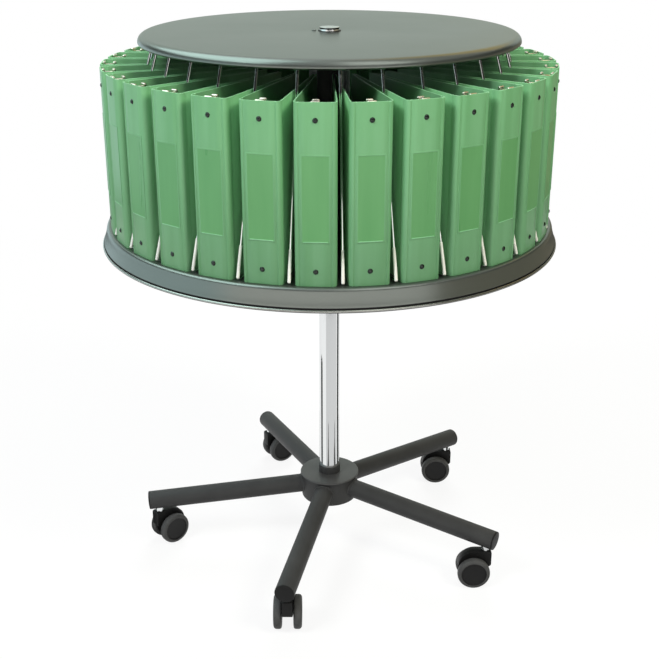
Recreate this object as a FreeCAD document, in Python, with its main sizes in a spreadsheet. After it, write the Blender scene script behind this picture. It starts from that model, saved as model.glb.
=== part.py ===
import FreeCAD, Part
import Sketcher
import math
import os

# Rotary filing cabinet: one carousel tier for ring binders on a five-star castor base.
# Millimetres, +Z up, the origin on the floor under the column. Azimuth 0 faces -Y, and
# azimuths grow towards +X. Repeated pieces are built once, pointing along +X, and turned.

doc = FreeCAD.newDocument("RotaryFilingCabinet")
sheet = doc.addObject("Spreadsheet::Sheet", "Dimensions")
Vector = FreeCAD.Vector

DRIVING_DIMENSIONS = {
    # clearances
    "running_gap": 0.3,
    "bearing_fit": 0.05,
    # castors
    "castor_count": 5,
    "castor_circle_radius": 390,
    "castor_trail": 25,
    "wheel_diameter": 70,
    "wheel_width": 17,
    "wheel_gap": 24,
    "wheel_rounding": 4,
    "tyre_thickness": 8,
    "hub_recess_depth": 3,
    "hub_recess_rim": 5,
    "axle_diameter": 8,
    "axle_seat_depth": 12,
    "hood_rise": 47,
    "hood_side_gap": 0.8,
    "hood_nose": 13,
    "hood_skirt_height": 48,
    "hood_tail_height": 42,
    "hood_tail_reach": 33,
    "hood_arc_radius": 36,
    "stem_diameter": 11,
    "socket_diameter": 18,
    "socket_shown": 8,
    "socket_depth": 26,
    # base star
    "arm_diameter": 41,
    "arm_wall": 2.5,
    "arm_slope": 4.5,
    "arm_overhang": 22,
    "arm_root_radius": 40,
    "arm_first_azimuth": -12.6,
    "arm_cap_thickness": 3,
    "arm_cap_plug": 10,
    "hub_diameter": 126,
    "hub_plate_diameter": 132,
    "hub_plate_thickness": 5,
    "hub_plate_bevel": 1.5,
    "hub_height": 61,
    "hub_above_arm": 9.5,
    "hub_floor": 6,
    "hub_foot_rounding": 6,
    "hub_collar_thickness": 1.5,
    "hub_collar_height": 17,
    # column
    "column_diameter": 45,
    "spindle_diameter": 40,
    "spindle_wall": 3,
    "spindle_overlap": 100,
    "spindle_proud": 7.5,
    "spindle_cap_thickness": 3,
    "spindle_cap_rounding": 1,
    "thrust_collar_diameter": 64,
    "thrust_collar_height": 8,
    "bearing_diameter": 60,
    "bearing_washer": 2,
    "bearing_ball": 4,
    # carousel
    "disc_height": 772,
    "tier_height": 374.6,
    "disc_sheet": 2,
    "disc_flat_radius": 458,
    "disc_flare": 10.5,
    "disc_skirt_height": 42,
    "disc_edge_rounding": 6,
    "disc_bead_radius": 2.8,
    "top_outer_radius": 375,
    "top_edge_width": 8,
    "top_edge_rounding": 13,
    "top_rim_height": 17.4,
    "top_rim_shoulder": 7,
    "top_rim_tuck": 3,
    "top_hole_diameter": 44,
    "sleeve_diameter": 50,
    "sleeve_wall": 4,
    "sleeve_drop": 12,
    "lower_flange_diameter": 150,
    "upper_flange_diameter": 120,
    "flange_thickness": 5,
    "bush_length": 30,
    "strap_width": 16,
    "strap_thickness": 3,
    "slot_width": 5,
    "slot_length": 40,
    "slot_pitch": 80,
    "slot_count": 4,
    "slot_first_drop": 124,
    "screw_diameter": 6,
    "screw_head_diameter": 10,
    "screw_head_height": 2.5,
    "lower_screw_circle": 60,
    "lower_screw_count": 4,
    "top_screw_circle": 31,
    "top_screw_head_diameter": 8,
    # wire dividers
    "bay_count": 30,
    "wire_diameter": 6,
    "wire_foot_inset": 10,
    "wire_head_inset": 25,
    "wire_foot_length": 30,
    "wire_head_length": 26,
    "wire_bend_radius": 9,
    # ring binders
    "binder_first_azimuth": 9,
    "spine_inset": 9,
    "binder_height": 318,
    "spine_bay_gap": 20,
    "binder_depth": 285,
    "back_bay_gap": 2.5,
    "board_thickness": 2.4,
    "pocket_width": 50,
    "pocket_height": 153,
    "pocket_base": 78,
    "pocket_thickness": 0.6,
    "rivet_diameter": 9.5,
    "rivet_height": 1.6,
    "rivet_drop": 30,
    "rivet_rise": 27,
    "mechanism_width": 30,
    "mechanism_thickness": 8,
    "mechanism_inset": 6,
    "trigger_width": 16,
    "trigger_reach": 26,
    "trigger_thickness": 7,
    "trigger_proud": 1,
}

# Direction in which each castor trails, one azimuth for each arm.
CASTOR_TRAILS = {
    "front_trail_azimuth": 180,
    "front_right_trail_azimuth": -90,
    "back_right_trail_azimuth": -90,
    "back_left_trail_azimuth": 120,
    "left_trail_azimuth": 130,
}


class Size:
    """A number together with the expression that binds it to the sheet."""

    def __init__(self, number, text):
        self.number = float(number)
        self.text = text

    @staticmethod
    def of(value):
        return value if isinstance(value, Size) else Size(value, repr(float(value)))

    def combine(self, other, sign, number):
        return Size(number, f"({self.text} {sign} {Size.of(other).text})")

    def __add__(self, other):
        return self.combine(other, "+", self.number + Size.of(other).number)

    def __sub__(self, other):
        return self.combine(other, "-", self.number - Size.of(other).number)

    def __mul__(self, other):
        return self.combine(other, "*", self.number * Size.of(other).number)

    def __truediv__(self, other):
        return self.combine(other, "/", self.number / Size.of(other).number)

    def __neg__(self):
        return Size(-self.number, f"(0 - {self.text})")

    def sine(self):
        return Size(math.sin(math.radians(self.number)), f"sin({self.text} * 1 deg)")

    def cosine(self):
        return Size(math.cos(math.radians(self.number)), f"cos({self.text} * 1 deg)")

    def tangent(self):
        return Size(math.tan(math.radians(self.number)), f"tan({self.text} * 1 deg)")


class Dimensions:
    """Gives each driving dimension as a Size under its alias."""


def fill_sheet():
    dimensions = Dimensions()
    rows = {**DRIVING_DIMENSIONS, **CASTOR_TRAILS}
    for row, (alias, value) in enumerate(rows.items(), start=1):
        sheet.set(f"A{row}", alias.replace("_", " "))
        sheet.set(f"B{row}", str(value))
        sheet.setAlias(f"B{row}", alias)
        setattr(dimensions, alias, Size(value, f"{sheet.Name}.{alias}"))
    doc.recompute()
    return dimensions


d = fill_sheet()
ZERO = Size.of(0)


# ---------------------------------------------------------------- building blocks

def bind(item, **sizes):
    for name, size in sizes.items():
        item.setExpression(name, Size.of(size).text)


def place(item, x=ZERO, y=ZERO, z=ZERO, axis=Vector(0, 0, 1), angle=None):
    if angle is not None:
        item.Placement = FreeCAD.Placement(Vector(), FreeCAD.Rotation(axis, angle.number))
        item.setExpression(".Placement.Rotation.Angle", angle.text)
    item.setExpression(".Placement.Base.x", x.text)
    item.setExpression(".Placement.Base.y", y.text)
    item.setExpression(".Placement.Base.z", z.text)
    return item


def cylinder(name, diameter, height, x=ZERO, y=ZERO, z=ZERO, axis=Vector(0, 0, 1), angle=None):
    item = doc.addObject("Part::Cylinder", name)
    bind(item, Radius=diameter / 2, Height=height)
    return place(item, x, y, z, axis, angle)


def box(name, length, width, height, x=ZERO, y=ZERO, z=ZERO):
    item = doc.addObject("Part::Box", name)
    bind(item, Length=length, Width=width, Height=height)
    return place(item, x, y, z)


def cut(name, base, *tools):
    for number, tool in enumerate(tools, start=1):
        item = doc.addObject("Part::Cut", name if number == len(tools) else f"{name}_{number}")
        item.Base = base
        item.Tool = tool
        base = item
    return base


def fuse(name, *pieces):
    item = doc.addObject("Part::MultiFuse", name)
    item.Shapes = list(pieces)
    item.Refine = True
    return item


def compound(name, *pieces):
    item = doc.addObject("Part::Compound", name)
    item.Links = list(pieces)
    return item


def ring(name, outer_diameter, inner_diameter, height, z):
    outside = cylinder(f"{name}_outside", outer_diameter, height, z=z)
    inside = cylinder(f"{name}_inside", inner_diameter, height, z=z)
    return cut(name, outside, inside)


def origin_plane(body, role):
    return next(item for item in body.Origin.OriginFeatures if item.Role == role)


def arc_between(start, end, radius):
    """The shorter arc from start to end, which bulges to the right of that line if radius > 0."""
    chord = end.sub(start)
    middle = start.add(end).multiply(0.5)
    left = Vector(-chord.y, chord.x, 0).normalize()
    rise = math.sqrt(radius ** 2 - (chord.Length / 2) ** 2)
    centre = middle.add(left.multiply(math.copysign(rise, radius)))
    first, last = (start, end) if radius > 0 else (end, start)
    angles = [math.atan2(point.y - centre.y, point.x - centre.x) for point in (first, last)]
    circle = Part.Circle(centre, Vector(0, 0, 1), abs(radius))
    return Part.ArcOfCircle(circle, angles[0], angles[1])


def outline(body, role, corners, name):
    """A closed sketch through corners (x, y) or (x, y, radius of the arc to the next corner)."""
    sketch = body.newObject("Sketcher::SketchObject", name)
    sketch.AttachmentSupport = [(origin_plane(body, role), "")]
    sketch.MapMode = "FlatFace"
    points = [Vector(Size.of(corner[0]).number, Size.of(corner[1]).number, 0) for corner in corners]
    ends = []
    for index, corner in enumerate(corners):
        start, end = points[index], points[(index + 1) % len(points)]
        if len(corner) == 3:
            radius = Size.of(corner[2])
            edge = sketch.addGeometry(arc_between(start, end, radius.number))
            ends.append((edge, 1, 2) if radius.number > 0 else (edge, 2, 1))
            size = abs(radius.number)
            rule = sketch.addConstraint(Sketcher.Constraint("Radius", edge, size))
            text = radius.text if radius.number > 0 else (-radius).text
            sketch.setExpression(f"Constraints[{rule}]", text)
        else:
            edge = sketch.addGeometry(Part.LineSegment(start, end))
            ends.append((edge, 1, 2))
    for index, (edge, start, end) in enumerate(ends):
        following, following_start, _ = ends[(index + 1) % len(ends)]
        sketch.addConstraint(Sketcher.Constraint("Coincident", edge, end, following, following_start))
        for direction, size in zip(("DistanceX", "DistanceY"), corners[index]):
            size = Size.of(size)
            rule = Sketcher.Constraint(direction, -1, 1, edge, start, size.number)
            sketch.setExpression(f"Constraints[{sketch.addConstraint(rule)}]", size.text)
    return sketch


def revolved(name, corners):
    """A body turned about the Z axis from an outline of (radius, height) corners."""
    body = doc.addObject("PartDesign::Body", name)
    sketch = outline(body, "XZ_Plane", corners, f"{name}_profile")
    turn = body.newObject("PartDesign::Revolution", f"{name}_turn")
    turn.Profile = sketch
    turn.ReferenceAxis = (sketch, ["V_Axis"])
    turn.Angle = 360
    body.Tip = turn
    return body


def padded(name, role, corners, length, both_ways=False):
    """A body pushed out from an outline, to one side or to both sides of its plane."""
    body = doc.addObject("PartDesign::Body", name)
    sketch = outline(body, role, corners, f"{name}_outline")
    pad = body.newObject("PartDesign::Pad", f"{name}_pad")
    pad.Profile = sketch
    pad.SideType = "Symmetric" if both_ways else "One side"
    bind(pad, Length=length)
    body.Tip = pad
    return body


def dress(body, kind, choose, **size):
    """Rounds or bevels the edges of a body's tip that the function choose accepts."""
    doc.recompute()
    base = body.Tip
    names = [f"Edge{index}" for index, edge in enumerate(base.Shape.Edges, start=1) if choose(edge)]
    if not names:
        raise RuntimeError(f"{body.Name} has no edge to dress")
    feature = body.newObject(f"PartDesign::{kind}", f"{body.Name}_{kind.lower()}_{len(body.Group)}")
    feature.Base = (base, names)
    bind(feature, **size)
    body.Tip = feature


def is_circle(radius, height):
    """Accepts the level circles of one radius at one height."""
    def choose(edge):
        curve = edge.Curve
        same_radius = isinstance(curve, Part.Circle) and abs(curve.Radius - radius.number) < 1e-4
        return same_radius and abs(edge.BoundBox.ZMin - height.number) < 1e-4
    return choose


def turned_copies(label, master, count, first_angle):
    """One node that holds copies of a solid, spread evenly about the Z axis."""
    doc.recompute()
    copies = []
    for index in range(int(count.number)):
        copy = master.Shape.copy()
        copy.rotate(Vector(), Vector(0, 0, 1), first_angle.number + 360 / count.number * index)
        copies.append(copy)
    item = doc.addObject("Part::Feature", label)
    item.Shape = Part.makeCompound(copies)
    return item


# ---------------------------------------------------------------- heights and radii

axle_height = d.wheel_diameter / 2
hood_top = axle_height + d.hood_rise
socket_bottom = hood_top + d.running_gap
arm_radius = d.arm_diameter / 2
arm_height_at_castor = socket_bottom + d.socket_shown + arm_radius / d.arm_slope.cosine()
arm_root_height = arm_height_at_castor + (d.castor_circle_radius - d.arm_root_radius) * d.arm_slope.tangent()
hub_top = (arm_height_at_castor + (d.castor_circle_radius - d.hub_diameter / 2) * d.arm_slope.tangent()
           + arm_radius + d.hub_above_arm)
hub_bottom = hub_top - d.hub_height
column_bottom = hub_bottom + d.hub_floor

disc_underside = d.disc_height - d.disc_sheet
sleeve_bottom = disc_underside - d.flange_thickness - d.sleeve_drop
bearing_height = d.bearing_washer * 2 + d.bearing_ball
bearing_bottom = sleeve_bottom - d.running_gap - bearing_height
column_top = bearing_bottom - d.thrust_collar_height
top_face = d.disc_height + d.tier_height
top_underside = top_face - d.disc_sheet
spindle_bottom = column_top - d.spindle_overlap
spindle_top = top_face + d.spindle_proud
binder_base = d.disc_height + d.running_gap
binder_top = binder_base + d.binder_height
running_diameter = d.spindle_diameter + d.bearing_fit * 2
top_flat_radius = d.top_outer_radius - d.top_edge_width
wire_foot_radius = d.disc_flat_radius - d.wire_foot_inset
wire_head_radius = top_flat_radius - d.wire_head_inset
spine_radius = d.disc_flat_radius - d.spine_inset
back_radius = spine_radius - d.binder_depth

first_arm_angle = d.arm_first_azimuth - 90
arm_step = Size.of(360) / d.castor_count
bay_step = Size.of(360) / d.bay_count
first_binder_angle = d.binder_first_azimuth - 90
first_wire_angle = first_binder_angle + bay_step / 2
half_bay_tangent = (bay_step / 2).tangent()
spine_width = spine_radius * 2 * half_bay_tangent - d.spine_bay_gap
back_width = back_radius * 2 * half_bay_tangent - d.back_bay_gap


# ---------------------------------------------------------------- base star

def arm_tube(name, diameter, start, length, z_shift=ZERO):
    """A cylinder on the sloping axis of the arm that points along +X."""
    x = d.arm_root_radius + start * d.arm_slope.cosine()
    z = arm_root_height - start * d.arm_slope.sine() + z_shift
    return cylinder(name, diameter, length, x=x, z=z, axis=Vector(0, 1, 0), angle=d.arm_slope + 90)


arm_reach = d.castor_circle_radius + d.arm_overhang
arm_length = (arm_reach - d.arm_root_radius) / d.arm_slope.cosine() - d.arm_cap_thickness


def socket_cylinder(name, diameter, height, z=socket_bottom):
    return cylinder(name, diameter, height, x=d.castor_circle_radius, z=z)


def build_arm():
    outside = arm_tube("arm_outside", d.arm_diameter, ZERO, arm_length)
    inside = arm_tube("arm_inside", d.arm_diameter - d.arm_wall * 2, ZERO, arm_length)
    seat = socket_cylinder("arm_socket_seat", d.socket_diameter, d.socket_shown + d.socket_depth)
    return cut("arm_master", outside, inside, seat)


def build_arm_cap():
    face = arm_tube("arm_cap_face", d.arm_diameter, arm_length, d.arm_cap_thickness)
    plug_start = arm_length - d.arm_cap_plug
    plug = arm_tube("arm_cap_plug", d.arm_diameter - d.arm_wall * 2, plug_start, d.arm_cap_plug)
    socket_space = socket_cylinder("arm_cap_space", d.socket_diameter + 1, d.socket_shown + d.socket_depth + 1)
    return cut("arm_cap_master", fuse("arm_cap_block", face, plug), socket_space)


def build_castor_socket():
    height = d.socket_shown + d.socket_depth
    outside = socket_cylinder("socket_outside", d.socket_diameter, height)
    bore_height = height - d.arm_wall
    bore = socket_cylinder("socket_bore", d.stem_diameter + d.bearing_fit * 2, bore_height)
    return cut("socket_master", outside, bore)


def place_arms(master):
    arms = []
    for index in range(int(d.castor_count.number)):
        arm = compound(f"base_arm_{index + 1}", master)
        place(arm, angle=first_arm_angle + arm_step * index)
        arms.append(arm)
    return arms


def build_hub():
    hub_radius = d.hub_diameter / 2
    plate_radius = d.hub_plate_diameter / 2
    plate_bottom = hub_top - d.hub_plate_thickness
    bore = d.column_diameter / 2
    block = revolved("hub_block", [
        (ZERO, hub_bottom), (hub_radius, hub_bottom), (hub_radius, plate_bottom),
        (plate_radius, plate_bottom), (plate_radius, hub_top), (bore, hub_top),
        (bore, column_bottom), (ZERO, column_bottom)])
    dress(block, "Fillet", is_circle(hub_radius, hub_bottom), Radius=d.hub_foot_rounding)
    dress(block, "Chamfer", is_circle(plate_radius, hub_top), Size=d.hub_plate_bevel)
    seats = []
    for index in range(int(d.castor_count.number)):
        seat = compound(f"hub_arm_seat_{index + 1}", arm_tube("hub_arm_seat", d.arm_diameter, ZERO, arm_length))
        seats.append(place(seat, angle=first_arm_angle + arm_step * index))
    return cut("base_hub", block, *seats)


def build_hub_collar():
    outer = d.column_diameter + d.hub_collar_thickness * 2
    return ring("hub_collar", outer, d.column_diameter, d.hub_collar_height, hub_top)


# ---------------------------------------------------------------- column

def build_column():
    return ring("column_tube", d.column_diameter, running_diameter, column_top - column_bottom, column_bottom)


def build_spindle():
    cap_bottom = spindle_top - d.spindle_cap_thickness
    bore = d.spindle_diameter - d.spindle_wall * 2
    tube = ring("spindle_tube", d.spindle_diameter, bore, cap_bottom - spindle_bottom, spindle_bottom)
    cap_radius = d.spindle_diameter / 2
    cap = revolved("spindle_cap", [
        (ZERO, cap_bottom), (cap_radius, cap_bottom), (cap_radius, spindle_top), (ZERO, spindle_top)])
    dress(cap, "Fillet", is_circle(cap_radius, spindle_top), Radius=d.spindle_cap_rounding)
    return compound("spindle", tube, cap)


def build_thrust_collar():
    return ring("thrust_collar", d.thrust_collar_diameter, running_diameter, d.thrust_collar_height, column_top)


def build_thrust_bearing():
    washers = []
    for name, z in (("lower", bearing_bottom), ("upper", bearing_bottom + d.bearing_washer + d.bearing_ball)):
        washers.append(ring(f"bearing_washer_{name}", d.bearing_diameter, running_diameter, d.bearing_washer, z))
    cage_outer = d.bearing_diameter - d.bearing_ball / 2
    cage_inner = running_diameter + d.bearing_ball / 2
    cage = ring("bearing_cage", cage_outer, cage_inner, d.bearing_ball, bearing_bottom + d.bearing_washer)
    return compound("thrust_bearing", washers[0], cage, washers[1])


# ---------------------------------------------------------------- castors

hood_width = d.wheel_gap - d.hood_side_gap * 2


def build_castor_master():
    """Hood, stem and axle with the stem on the Z axis and the wheels trailing along +X."""
    arc_centre_height = hood_top - d.hood_arc_radius
    arc_right = d.castor_trail + d.hood_tail_reach
    hood = padded("hood_shell", "XZ_Plane", [
        (-d.hood_nose, d.hood_skirt_height), (-d.hood_nose, hood_top), (arc_right - d.hood_arc_radius, hood_top,
                                                                        -d.hood_arc_radius),
        (arc_right, arc_centre_height), (arc_right, d.hood_tail_height),
        (d.castor_trail, axle_height - d.axle_diameter)], hood_width, both_ways=True)
    nose = d.hood_nose.number
    dress(hood, "Fillet", lambda edge: abs(edge.BoundBox.XMax + nose) < 1e-4
          and abs(edge.BoundBox.ZMin - hood_top.number) < 1e-4, Radius=d.wheel_rounding)
    stem_foot = hood_top - d.socket_depth / 2
    stem_length = d.socket_depth / 2 + d.running_gap + d.socket_shown + d.socket_depth - d.arm_wall * 2
    stem = cylinder("castor_stem", d.stem_diameter, stem_length, z=stem_foot)
    axle_length = d.wheel_gap + d.axle_seat_depth * 2
    axle = cylinder("castor_axle", d.axle_diameter, axle_length, x=d.castor_trail, y=axle_length / 2,
                    z=axle_height, axis=Vector(1, 0, 0), angle=Size.of(90))
    shell = cut("castor_hood", hood, stem, axle)
    return [shell, stem, axle]


def build_wheel_master():
    """Two wheel centres and two tyres on the axle line, for a castor that trails along +X."""
    inner = d.wheel_gap / 2
    outer = inner + d.wheel_width
    tyre_inside = d.wheel_diameter / 2 - d.tyre_thickness
    recess = tyre_inside - d.hub_recess_rim
    seat = d.axle_diameter / 2 + d.bearing_fit
    seat_end = inner + d.axle_seat_depth + d.running_gap
    face = outer - d.hub_recess_depth
    centre = revolved("wheel_centre", [
        (ZERO, seat_end), (seat, seat_end), (seat, inner), (tyre_inside, inner), (tyre_inside, outer),
        (recess, outer), (recess, face), (ZERO, face)])
    tread = d.wheel_diameter / 2
    tyre = revolved("wheel_tyre", [(tyre_inside, inner), (tread, inner), (tread, outer), (tyre_inside, outer)])
    for height in (inner, outer):
        dress(tyre, "Fillet", is_circle(tread, height), Radius=d.wheel_rounding)
    pair = []
    for side, angle in (("left", -90), ("right", 90)):
        wheel = compound(f"wheel_{side}", centre, tyre)
        pair.append(place(wheel, x=d.castor_trail, z=axle_height, axis=Vector(1, 0, 0), angle=Size.of(angle)))
    return pair


def place_castors(frame_pieces, wheel_pieces):
    castors = []
    for index, trail_name in enumerate(CASTOR_TRAILS):
        azimuth = d.arm_first_azimuth + arm_step * index
        turn = getattr(d, trail_name) - 90
        x = d.castor_circle_radius * azimuth.sine()
        y = -(d.castor_circle_radius * azimuth.cosine())
        for kind, pieces in (("castor_frame", frame_pieces), ("castor_wheels", wheel_pieces)):
            castor = compound(f"{kind}_{index + 1}", *pieces)
            castors.append(place(castor, x=x, y=y, angle=turn))
    return castors


# ---------------------------------------------------------------- carousel

def build_bottom_disc():
    sheet_width = d.disc_sheet
    bore = d.sleeve_diameter / 2
    skirt_bottom = d.disc_height - d.disc_skirt_height
    lip = d.disc_flat_radius + d.disc_flare - d.disc_bead_radius
    body = revolved("disc_shell", [
        (bore, disc_underside), (d.disc_flat_radius - sheet_width, disc_underside),
        (lip - sheet_width / 2, skirt_bottom + d.disc_bead_radius),
        (lip + sheet_width / 2, skirt_bottom + d.disc_bead_radius),
        (d.disc_flat_radius, d.disc_height), (bore, d.disc_height)])
    inner_rounding = d.disc_edge_rounding - sheet_width
    dress(body, "Fillet", is_circle(d.disc_flat_radius, d.disc_height), Radius=d.disc_edge_rounding)
    dress(body, "Fillet", is_circle(d.disc_flat_radius - sheet_width, disc_underside), Radius=inner_rounding)
    bead = doc.addObject("Part::Torus", "disc_bead")
    bind(bead, Radius1=lip, Radius2=d.disc_bead_radius)
    place(bead, z=skirt_bottom + d.disc_bead_radius)
    whole = fuse("disc_whole", body, bead)
    holes = screw_cylinders("disc_hole", d.screw_diameter, disc_underside, d.disc_sheet)
    return cut("bottom_disc", whole, *holes)


def build_top_disc():
    sheet_width = d.disc_sheet
    bore = d.top_hole_diameter / 2
    shoulder = top_face - d.top_rim_shoulder
    rim_bottom = top_face - d.top_rim_height
    arc = d.top_edge_rounding
    tuck = d.top_outer_radius - d.top_rim_tuck
    body = revolved("top_shell", [
        (bore, top_underside), (top_flat_radius - sheet_width / 2, top_underside, -arc),
        (d.top_outer_radius - sheet_width, shoulder), (tuck - sheet_width, rim_bottom), (tuck, rim_bottom),
        (d.top_outer_radius, shoulder, arc), (top_flat_radius, top_face), (bore, top_face)])
    hole_diameter = d.top_screw_head_diameter + d.running_gap * 2
    hole = cylinder("top_disc_hole", hole_diameter, d.disc_sheet, x=-d.top_screw_circle, z=top_underside)
    return cut("top_disc", body, hole)


def screw_cylinders(name, diameter, z, height):
    """Cylinders on the lower flange's screw circle, at equal steps."""
    items = []
    step = Size.of(360) / d.lower_screw_count
    for index in range(int(d.lower_screw_count.number)):
        angle = step * index + 45
        x = d.lower_screw_circle * angle.cosine()
        y = d.lower_screw_circle * angle.sine()
        items.append(cylinder(f"{name}_{index + 1}", diameter, height, x=x, y=y, z=z))
    return items


def build_sleeve():
    lower_flange_bottom = disc_underside - d.flange_thickness
    upper_flange_bottom = top_underside - d.flange_thickness
    tube = cylinder("sleeve_tube", d.sleeve_diameter, top_underside - sleeve_bottom, z=sleeve_bottom)
    lower = cylinder("sleeve_lower_flange", d.lower_flange_diameter, d.flange_thickness, z=lower_flange_bottom)
    upper = cylinder("sleeve_upper_flange", d.upper_flange_diameter, d.flange_thickness, z=upper_flange_bottom)
    bore_diameter = d.sleeve_diameter - d.sleeve_wall * 2
    bore = cylinder("sleeve_bore", bore_diameter, top_underside - sleeve_bottom, z=sleeve_bottom)
    holes = screw_cylinders("flange_hole", d.screw_diameter, lower_flange_bottom, d.flange_thickness)
    top_hole = cylinder("top_flange_hole", d.screw_diameter, d.flange_thickness, x=-d.top_screw_circle,
                        z=upper_flange_bottom)
    return cut("rotor_sleeve", fuse("sleeve_block", tube, lower, upper), bore, top_hole, *holes)


def build_bushes():
    outer = d.sleeve_diameter - d.sleeve_wall * 2
    lower = ring("bush_lower", outer, running_diameter, d.bush_length, sleeve_bottom)
    upper = ring("bush_upper", outer, running_diameter, d.bush_length, top_underside - d.bush_length)
    return compound("sleeve_bushes", lower, upper)


def build_straps():
    strap_height = top_underside - d.flange_thickness - d.disc_height
    corner_x = d.sleeve_diameter / 2
    half = d.strap_thickness / 2
    blank = box("strap_blank", d.strap_width, d.strap_thickness, strap_height, x=corner_x, y=-half,
                z=d.disc_height)
    slots = []
    for index in range(int(d.slot_count.number)):
        top = top_face - d.slot_first_drop + d.slot_width / 2 - d.slot_pitch * index
        middle = corner_x + d.strap_width / 2
        slot = box(f"slot_{index + 1}", d.slot_width, d.strap_thickness * 3, d.slot_length - d.slot_width,
                   x=middle - d.slot_width / 2, y=-(d.strap_thickness * 1.5), z=top - d.slot_length)
        ends = []
        for end, z in (("lower", top - d.slot_length), ("upper", top - d.slot_width)):
            ends.append(cylinder(f"slot_{index + 1}_{end}", d.slot_width, d.strap_thickness * 3, x=middle,
                                 y=d.strap_thickness * 1.5, z=z, axis=Vector(1, 0, 0), angle=Size.of(90)))
        slots.append(fuse(f"slot_cutter_{index + 1}", slot, *ends))
    strap = cut("strap_master", blank, *slots)
    right = compound("strap_right", strap)
    left = place(compound("strap_left", strap), angle=Size.of(180))
    return compound("slotted_straps", right, left)


def build_screws():
    pieces = []
    lower_bottom = disc_underside - d.flange_thickness
    shank = d.disc_sheet + d.flange_thickness
    shanks = screw_cylinders("lower_shank", d.screw_diameter, lower_bottom, shank)
    heads = screw_cylinders("lower_head", d.screw_head_diameter, d.disc_height, d.screw_head_height)
    for index, (body, head) in enumerate(zip(shanks, heads), start=1):
        pieces.append(fuse(f"lower_screw_{index}", body, head))
    top_shank = cylinder("top_shank", d.screw_diameter, d.flange_thickness, x=-d.top_screw_circle,
                         z=top_underside - d.flange_thickness)
    top_head = cylinder("top_head", d.top_screw_head_diameter, d.disc_sheet, x=-d.top_screw_circle,
                        z=top_underside)
    pieces.append(fuse("top_screw", top_shank, top_head))
    return compound("disc_screws", *pieces)


def build_wire_master():
    """One divider: a foot on the bottom disc, a leaning upright and a head under the top disc."""
    wire_radius = d.wire_diameter / 2
    foot_height = d.disc_height + wire_radius
    head_height = top_underside - wire_radius
    route = [
        (wire_foot_radius - d.wire_foot_length, foot_height), (wire_foot_radius, foot_height),
        (wire_head_radius, head_height), (wire_head_radius - d.wire_head_length, head_height)]
    points = [Vector(x.number, 0, z.number) for x, z in route]
    bend = d.wire_bend_radius.number
    edges = []
    start = points[0]
    for before, corner, after in zip(points, points[1:], points[2:]):
        incoming = corner.sub(before).normalize()
        outgoing = after.sub(corner).normalize()
        turn = incoming.getAngle(outgoing)
        reach = bend * math.tan(turn / 2)
        arc_start = corner.sub(Vector(incoming).multiply(reach))
        arc_end = corner.add(Vector(outgoing).multiply(reach))
        inward = Vector(outgoing).sub(incoming).normalize()
        arc_middle = corner.add(inward.multiply(bend / math.cos(turn / 2) - bend))
        edges.append(Part.LineSegment(start, arc_start).toShape())
        edges.append(Part.Arc(arc_start, arc_middle, arc_end).toShape())
        start = arc_end
    edges.append(Part.LineSegment(start, points[-1]).toShape())
    path = Part.Wire(edges)
    section = Part.Wire([Part.Circle(points[0], Vector(1, 0, 0), wire_radius.number).toShape()])
    item = doc.addObject("Part::Feature", "wire_master")
    item.Shape = path.makePipeShell([section], True, False)
    return item


# ---------------------------------------------------------------- ring binders

def build_binder_master():
    """The solids of one binder, its spine facing +X and its open side towards the column."""
    spine_inside = spine_radius - d.board_thickness
    half_spine = spine_width / 2
    half_back = back_width / 2
    pieces = [box("binder_spine", d.board_thickness, spine_width, d.binder_height,
                  x=spine_inside, y=-half_spine, z=binder_base)]
    for side, sign in (("left", 1), ("right", -1)):
        cover = padded(f"binder_cover_{side}", "XY_Plane", [
            (spine_inside, half_spine * sign), (spine_inside, (half_spine - d.board_thickness) * sign),
            (back_radius, (half_back - d.board_thickness) * sign),
            (back_radius, half_back * sign)], d.binder_height)
        pieces.append(place(compound(f"binder_board_{side}", cover), z=binder_base))
    pieces.append(box("binder_pocket", d.pocket_thickness, d.pocket_width, d.pocket_height, x=spine_radius,
                      y=-(d.pocket_width / 2), z=binder_base + d.pocket_base))
    for name, z in (("upper", binder_top - d.rivet_drop), ("lower", binder_base + d.rivet_rise)):
        pieces.append(cylinder(f"binder_rivet_{name}", d.rivet_diameter, d.rivet_height, x=spine_radius, z=z,
                               axis=Vector(0, 1, 0), angle=Size.of(90)))
    plate_length = d.binder_height - d.mechanism_inset * 2
    plate_x = spine_inside - d.mechanism_thickness
    pieces.append(box("binder_mechanism", d.mechanism_thickness, d.mechanism_width, plate_length,
                      x=plate_x, y=-(d.mechanism_width / 2), z=binder_base + d.mechanism_inset))
    pieces.append(box("binder_trigger", d.trigger_reach, d.trigger_width, d.trigger_thickness,
                      x=spine_inside - d.trigger_reach, y=-(d.trigger_width / 2),
                      z=binder_top + d.trigger_proud - d.trigger_thickness))
    return pieces


def place_binders(pieces):
    binders = []
    for index in range(int(d.bay_count.number)):
        binder = compound(f"binder_{index + 1:02d}", *pieces)
        binders.append(place(binder, angle=first_binder_angle + bay_step * index))
    return binders


# ---------------------------------------------------------------- assembly and export

nodes = [build_hub(), build_hub_collar(), build_column(), build_spindle(), build_thrust_collar(),
         build_thrust_bearing()]
nodes += place_arms(build_arm())
nodes.append(turned_copies("arm_end_caps", build_arm_cap(), d.castor_count, first_arm_angle))
nodes.append(turned_copies("castor_sockets", build_castor_socket(), d.castor_count, first_arm_angle))
nodes += place_castors(build_castor_master(), build_wheel_master())
nodes += [build_bottom_disc(), build_top_disc(), build_sleeve(), build_bushes(), build_straps(), build_screws()]
nodes.append(turned_copies("divider_wires", build_wire_master(), d.bay_count, first_wire_angle))
nodes += place_binders(build_binder_master())

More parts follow.
